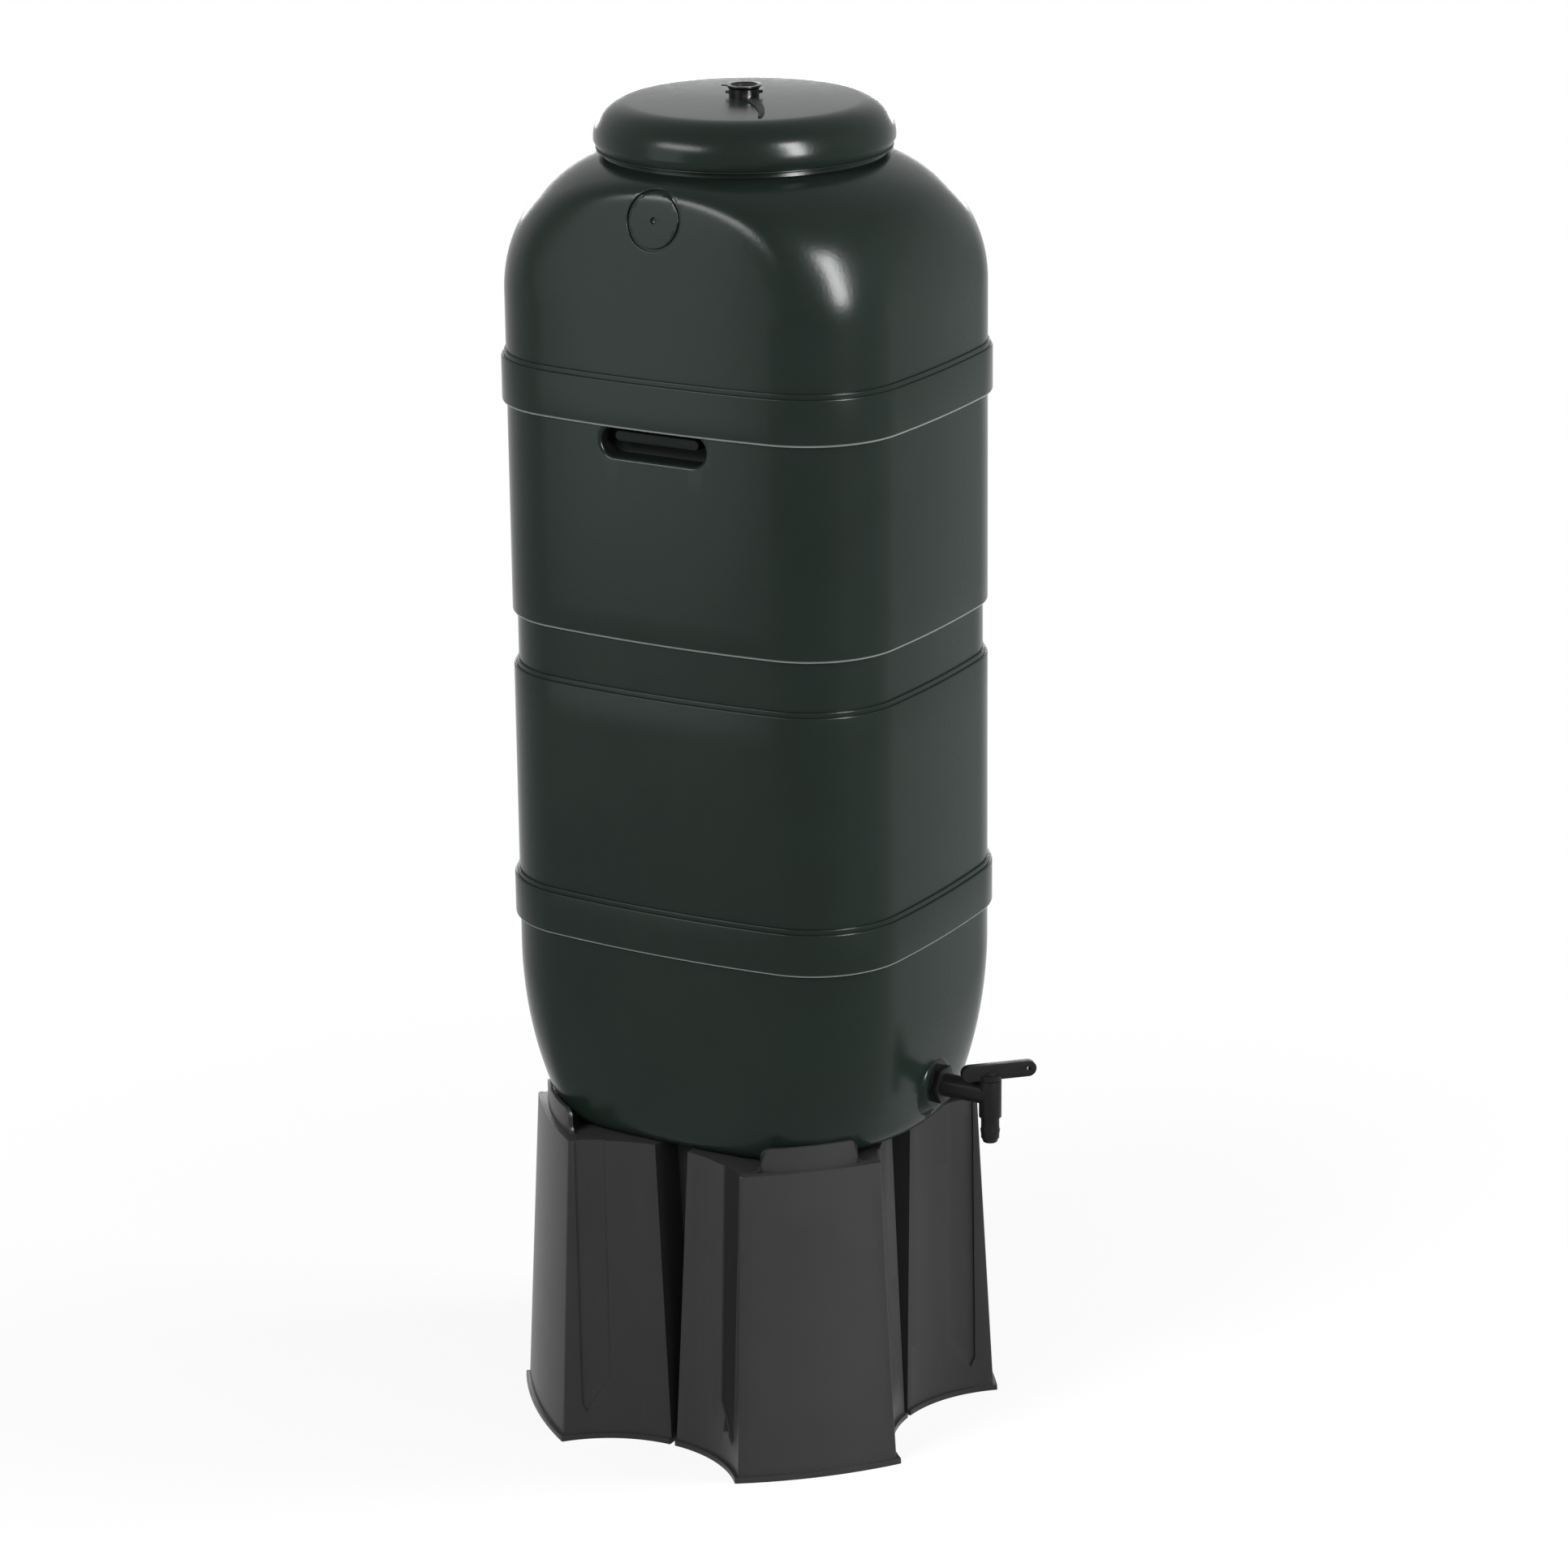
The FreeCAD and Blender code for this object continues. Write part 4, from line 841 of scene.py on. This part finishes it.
def is_lobe_corner(edge):
    """Whether an edge is one of the upright corners at a lobe's outer face."""
    first, last = (vert.co for vert in edge.verts)
    if len(edge.link_faces) != 2 or edge.calc_face_angle(0) < 0.4:
        return False
    if min(lobe_reach(first), lobe_reach(last)) < LOBE_EDGE or max(first.z, last.z) > DECK:
        return False
    if not edge.is_convex or min(aside(first), aside(last)) < LOBE_SIDE:
        return False
    return abs(first.z - last.z) > 0.9 * (first - last).length


def is_strip(face):
    """Whether a face belongs to a sunk strip on the front or back lobe's flanks."""
    middle = face.calc_center_median()
    lateral = face.normal.x * math.copysign(1, middle.x)
    lateral -= face.normal.y * math.copysign(1, middle.y)
    outward = lateral * math.copysign(1, abs(middle.x) - abs(middle.y))
    inside = all(STRIP_INNER < lobe_reach(vert.co) < STRIP_OUTER and vert.co.z > STRIP_LOW
                 for vert in face.verts)
    return inside and middle.x * middle.y > 0 and abs(face.normal.z) < 0.4 and outward > 0.2


def make_stand(material, strip_shade_material):
    """Stand with painted shade on the sunk strips of its flanks, and its corners as round as its
    facets allow.
    """
    shape = solid_copy("stand")
    # Faces of the sunk strips take the darker material of painted shade.
    for face in shape.faces:
        face.material_index = 1 if is_strip(face) else 0
    corners = [edge for edge in shape.edges if is_lobe_corner(edge)]
    bmesh.ops.bevel(shape, geom=corners, offset=LOBE_CORNER, offset_type="OFFSET", segments=6,
                    profile=0.5, affect="EDGES", clamp_overlap=True, material=-1)
    piece = new_piece("stand_moulding", shape, material)
    piece.data.materials.append(strip_shade_material)
    round_edges(piece, 1.3)
    return piece


def stands_for(piece, node, body):
    """Let a piece take the place of a CAD node."""
    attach(piece, body)
    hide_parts(node)


# Sizes and colours that a user would change

class FinishSettings(bpy.types.PropertyGroup):
    """Finish of each plastic."""
    tank_roughness: bpy.props.FloatProperty(
        name="Tank roughness", description="Roughness of the tank and lid",
        default=0.22, min=0, max=1, subtype="FACTOR")
    tank_dark: bpy.props.StringProperty(
        name="Tank dark", description="Darker colour of the tank's plastic, as sRGB hex",
        default="#1A231F")
    tank_light: bpy.props.StringProperty(
        name="Tank light", description="Lighter colour of the tank's plastic, as sRGB hex",
        default="#202B26")
    stand_dark: bpy.props.StringProperty(
        name="Stand dark", description="Darker colour of the stand's plastic, as sRGB hex",
        default="#323232")
    stand_light: bpy.props.StringProperty(
        name="Stand light", description="Lighter colour of the stand's plastic, as sRGB hex",
        default="#3A3A3A")
    # Strength of the highlight painted along the belts' lower edges.
    edge_highlight_strength: bpy.props.FloatProperty(
        name="Painted edge highlight", description="How pale the lower edges of the belts are rubbed",
        default=0.85, min=0, max=1, subtype="FACTOR")
    stand_roughness: bpy.props.FloatProperty(
        name="Stand roughness", description="Roughness of the stand",
        default=0.32, min=0, max=1, subtype="FACTOR")
    tap_roughness: bpy.props.FloatProperty(
        name="Tap roughness", description="Roughness of the tap",
        default=0.35, min=0, max=1, subtype="FACTOR")
    gloss: bpy.props.FloatProperty(
        name="Gloss", description="Strength of the plastics' reflection",
        default=0.09, min=0, max=1, subtype="FACTOR")


class StageSettings(bpy.types.PropertyGroup):
    """Camera and lamps."""
    camera_turn: bpy.props.FloatProperty(
        name="Turn", description="Camera's azimuth round the butt, from the tap's side",
        default=math.radians(-59.16), subtype="ANGLE")
    camera_distance: bpy.props.FloatProperty(
        name="Distance", description="Level distance of the camera from the butt's axis",
        default=4.7462, unit="LENGTH")
    camera_height: bpy.props.FloatProperty(
        name="Height", description="Camera's height above the floor",
        default=2.1319, unit="LENGTH")
    camera_pitch: bpy.props.FloatProperty(
        name="Pitch", description="How far the camera looks down",
        default=math.radians(17.77), subtype="ANGLE")
    camera_lens: bpy.props.FloatProperty(
        name="Lens", description="Focal length for a 36 mm sensor",
        default=122.0, min=10, max=300)
    fill: bpy.props.FloatProperty(
        name="Fill", description="Light that comes evenly from all around",
        default=0.15, min=0, max=1, subtype="FACTOR")
    left_power: bpy.props.FloatProperty(
        name="Left light", description="Power of the soft light on the left",
        default=105.0, min=0, unit="POWER")
    right_power: bpy.props.FloatProperty(
        name="Right light", description="Power of the soft light on the right",
        default=105.0, min=0, unit="POWER")
    highlight_power: bpy.props.FloatProperty(
        name="Highlight", description="Power of the lamp that makes the tall highlight",
        default=420.0, min=0, unit="POWER")
    low_power: bpy.props.FloatProperty(
        name="Low light", description="Power of the soft light near the floor",
        default=22.0, min=0, unit="POWER")
    sheen_power: bpy.props.FloatProperty(
        name="Sheen", description="Power of the wide lamp mirrored in the grip's side",
        default=30.0, min=0, unit="POWER")
    back_power: bpy.props.FloatProperty(
        name="Back light", description="Power of the lamp that brightens the lid's top",
        default=30.0, min=0, unit="POWER")


# Operators, one for each group of pieces and one for the stage

class BUTT_OT_tank(bpy.types.Operator):
    """Build the tank"""
    bl_idname = "water_butt.tank"
    bl_label = "Tank"

    def execute(self, context):
        material = tank_wall_polyethylene(context.scene.butt_finish)
        dress(["butt_body"], material)
        stands_for(make_tank(material), "butt_body", "tank")
        return {"FINISHED"}


class BUTT_OT_lid(bpy.types.Operator):
    """Build the lid"""
    bl_idname = "water_butt.lid"
    bl_label = "Lid"

    def execute(self, context):
        material = tank_polyethylene(context.scene.butt_finish)
        dress(["lid"], material)
        stands_for(make_lid(material), "lid", "lid")
        return {"FINISHED"}


class BUTT_OT_stand(bpy.types.Operator):
    """Build the stand"""
    bl_idname = "water_butt.stand"
    bl_label = "Stand"

    def execute(self, context):
        look = context.scene.butt_finish
        material = stand_polypropylene(look)
        dress(["stand"], material)
        stands_for(make_stand(material, stand_polypropylene(look, painted_shade=True)), "stand", "tank")
        return {"FINISHED"}


class BUTT_OT_tap(bpy.types.Operator):
    """Build the tap, its lever, its backnut and the lid's collar"""
    bl_idname = "water_butt.tap"
    bl_label = "Tap and collar"

    def execute(self, context):
        look = context.scene.butt_finish
        material = tap_nylon(look)
        dress(["tap_body", "tap_lever", "tap_backnut"], material)
        soft = collar_polypropylene(look)
        dress(["lid_collar"], soft)
        stands_for(rounded("tap_body", "tap_housing", 1.2, material), "tap_body", "tank")
        stands_for(rounded("tap_lever", "tap_handle", 1.2, material), "tap_lever", "lever")
        collar = rounded("lid_collar", "collar_and_strap", 0.4, soft)
        collar.data.materials.append(collar_polypropylene(look, shiny=True))
        for face in collar.data.polygons:
            if face.center.xy.length < COLLAR_REACH * MM:
                face.material_index = 1
        stands_for(collar, "lid_collar", "lid")
        return {"FINISHED"}


class BUTT_OT_seals(bpy.types.Operator):
    """Finish the rubber washers and rings"""
    bl_idname = "water_butt.seals"
    bl_label = "Seals"

    def execute(self, context):
        dress(["tap_washer_outer", "tap_washer_inner", "plug_o_ring_lower", "plug_o_ring_upper"],
              seal_rubber(context.scene.butt_finish))
        return {"FINISHED"}


# Stage

# Light level of the open floor beside the stand, where 1 is white, and the shadow's share
FLOOR_LEVEL, FLOOR_SHADOW = 0.8, 0.18
FLOOR_HALF = 40000.0

# Small turns that put the butt where the photograph has it
CAMERA_PAN, CAMERA_ROLL = math.radians(0.35), math.radians(-0.64)


def background_share(tree):
    """1 where the camera or a reflection looks, and 0 for light that falls on the object."""
    path = add_node(tree, "ShaderNodeLightPath")
    seen = add_node(tree, "ShaderNodeMath",
                    {0: path.outputs["Is Camera Ray"], 1: path.outputs["Is Glossy Ray"]},
                    operation="MAXIMUM")
    clear = add_node(tree, "ShaderNodeMath",
                     {0: seen.outputs[0], 1: path.outputs["Is Transmission Ray"]},
                     operation="MAXIMUM")
    return clear.outputs[0]


def pale_floor():
    """Wide white floor that shows a faint shadow close to the stand."""
    shape = bmesh.new()
    bmesh.ops.create_grid(shape, x_segments=1, y_segments=1, size=FLOOR_HALF)
    floor = new_piece("floor", shape, None)
    material = bpy.data.materials.new("white_floor")
    material.use_nodes = True
    tree = material.node_tree
    tree.nodes.clear()
    place = add_node(tree, "ShaderNodeTexCoord").outputs["Object"]
    away = add_node(tree, "ShaderNodeVectorMath", {0: place}, operation="LENGTH")
    near = add_node(tree, "ShaderNodeMapRange",
                    {"Value": away.outputs["Value"], "From Min": 0.45, "From Max": 1.3,
                     "To Min": 1.0, "To Max": 0.0}, interpolation_type="SMOOTHSTEP")
    lit = add_node(tree, "ShaderNodeBsdfDiffuse", {"Color": (0.8, 0.8, 0.8, 1)})
    white = add_node(tree, "ShaderNodeEmission", {"Strength": 1.0})
    shaded = add_node(tree, "ShaderNodeBsdfDiffuse",
                      {"Color": (FLOOR_SHADOW, FLOOR_SHADOW, FLOOR_SHADOW, 1)})
    glow = add_node(tree, "ShaderNodeEmission", {"Strength": 1 - FLOOR_SHADOW * FLOOR_LEVEL})
    both = add_node(tree, "ShaderNodeAddShader",
                    {0: shaded.outputs[0], 1: glow.outputs[0]})
    seen = add_node(tree, "ShaderNodeMixShader",
                    {0: near.outputs["Result"], 1: white.outputs[0], 2: both.outputs[0]})
    whole = add_node(tree, "ShaderNodeMixShader",
                     {0: background_share(tree), 1: lit.outputs[0], 2: seen.outputs[0]})
    add_node(tree, "ShaderNodeOutputMaterial", {"Surface": whole.outputs[0]})
    floor.data.materials.append(material)


def soft_light(name, place, target, width, height, power, light=True, gloss=True):
    """Large rectangular lamp aimed at a point, for its light, its highlight or both."""
    lamp = bpy.data.lights.new(name, "AREA")
    lamp.shape = "RECTANGLE"
    lamp.size = width
    lamp.size_y = height
    lamp.energy = power
    item = bpy.data.objects.new(name, lamp)
    place = Vector(place)
    item.matrix_world = (Matrix.Translation(place)
                         @ (Vector(target) - place).to_track_quat("-Z", "Y").to_matrix().to_4x4())
    item.visible_camera = False
    item.visible_diffuse = light
    item.visible_glossy = gloss
    bpy.context.scene.collection.objects.link(item)


def white_world(fill):
    """White where the camera or a reflection looks, and a plain fill elsewhere."""
    world = bpy.data.worlds.new("studio")
    world.use_nodes = True
    tree = world.node_tree
    tree.nodes.clear()
    strength = add_node(tree, "ShaderNodeMapRange",
                        {"Value": background_share(tree), "To Min": fill, "To Max": 1.0})
    sky = add_node(tree, "ShaderNodeBackground",
                   {"Color": (1, 1, 1, 1), "Strength": strength.outputs["Result"]})
    add_node(tree, "ShaderNodeOutputWorld", {"Surface": sky.outputs["Background"]})
    bpy.context.scene.world = world


def aimed_camera(view):
    """Camera at the photograph's angle."""
    lens = bpy.data.cameras.new("camera")
    lens.lens = view.camera_lens
    lens.sensor_width = 36.0
    lens.clip_end = 100
    camera = bpy.data.objects.new("camera", lens)
    place = Vector((math.sin(view.camera_turn) * view.camera_distance,
                    -math.cos(view.camera_turn) * view.camera_distance, view.camera_height))
    camera.matrix_world = (
        Matrix.Translation(place)
        @ Matrix.Rotation(view.camera_turn - CAMERA_PAN, 4, "Z")
        @ Matrix.Rotation(math.pi / 2 - view.camera_pitch, 4, "X")
        @ Matrix.Rotation(CAMERA_ROLL, 4, "Z"))
    bpy.context.scene.collection.objects.link(camera)
    bpy.context.scene.camera = camera


def around(heading, distance, height):
    """Place on a circle round the butt, its heading measured from +X."""
    turn = math.radians(heading)
    return (math.cos(turn) * distance, math.sin(turn) * distance, height)


class BUTT_OT_stage(bpy.types.Operator):
    """Add the floor, the lamps, the white surroundings and the camera"""
    bl_idname = "water_butt.stage"
    bl_label = "Stage"

    def execute(self, context):
        view = context.scene.butt_stage
        pale_floor()
        white_world(view.fill)
        soft_light("left", around(165, 3.4, 2.9), (0, 0, 0.9), 1.6, 1.6, view.left_power,
                   gloss=False)
        soft_light("left_highlight", around(158, 3.4, 3.0), (0, 0, 1.2), 2.2, 0.7,
                   view.highlight_power * 0.35, light=False)
        soft_light("left_sheen", around(150, 2.6, 1.3), (0, 0, 0.9), 1.3, 2.4,
                   view.sheen_power, light=False)
        soft_light("right", around(300, 3.4, 2.0), (0, 0, 0.7), 1.4, 2.4, view.right_power,
                   gloss=False)
        soft_light("low", around(262, 2.6, 0.35), (0, 0, 0.45), 1.8, 0.5, view.low_power,
                   gloss=False)
        soft_light("highlight", around(250, 2.8, 2.4), (0, 0, 1.15), 0.65, 2.1,
                   view.highlight_power, light=False)
        soft_light("behind", around(31, 3.0, 1.15), (0, 0, 1.25), 2.4, 0.3,
                   view.back_power, light=False)
        aimed_camera(view)
        context.scene.view_settings.view_transform = "Standard"
        return {"FINISHED"}


class BUTT_PT_panel(bpy.types.Panel):
    """Lists the pieces of the water butt"""
    bl_label = "Water butt"
    bl_idname = "BUTT_PT_panel"
    bl_space_type = "VIEW_3D"
    bl_region_type = "UI"
    bl_category = "Water butt"

    def draw(self, context):
        for operator in OPERATORS:
            self.layout.operator(operator.bl_idname)
        for settings in (context.scene.butt_finish, context.scene.butt_stage):
            for name in settings.__annotations__:
                self.layout.prop(settings, name)


OPERATORS = (BUTT_OT_tank, BUTT_OT_lid, BUTT_OT_stand, BUTT_OT_tap, BUTT_OT_seals, BUTT_OT_stage)
CLASSES = (FinishSettings, StageSettings) + OPERATORS + (BUTT_PT_panel,)


def register():
    for item in CLASSES:
        bpy.utils.register_class(item)
    bpy.types.Scene.butt_finish = bpy.props.PointerProperty(type=FinishSettings)
    bpy.types.Scene.butt_stage = bpy.props.PointerProperty(type=StageSettings)


def unregister():
    del bpy.types.Scene.butt_stage
    del bpy.types.Scene.butt_finish
    for item in reversed(CLASSES):
        bpy.utils.unregister_class(item)


def main():
    """Build every piece."""
    register()
    for operator in (bpy.ops.water_butt.tank, bpy.ops.water_butt.lid, bpy.ops.water_butt.stand,
                     bpy.ops.water_butt.tap, bpy.ops.water_butt.seals, bpy.ops.water_butt.stage):
        operator()


if __name__ == "__main__":
    main()
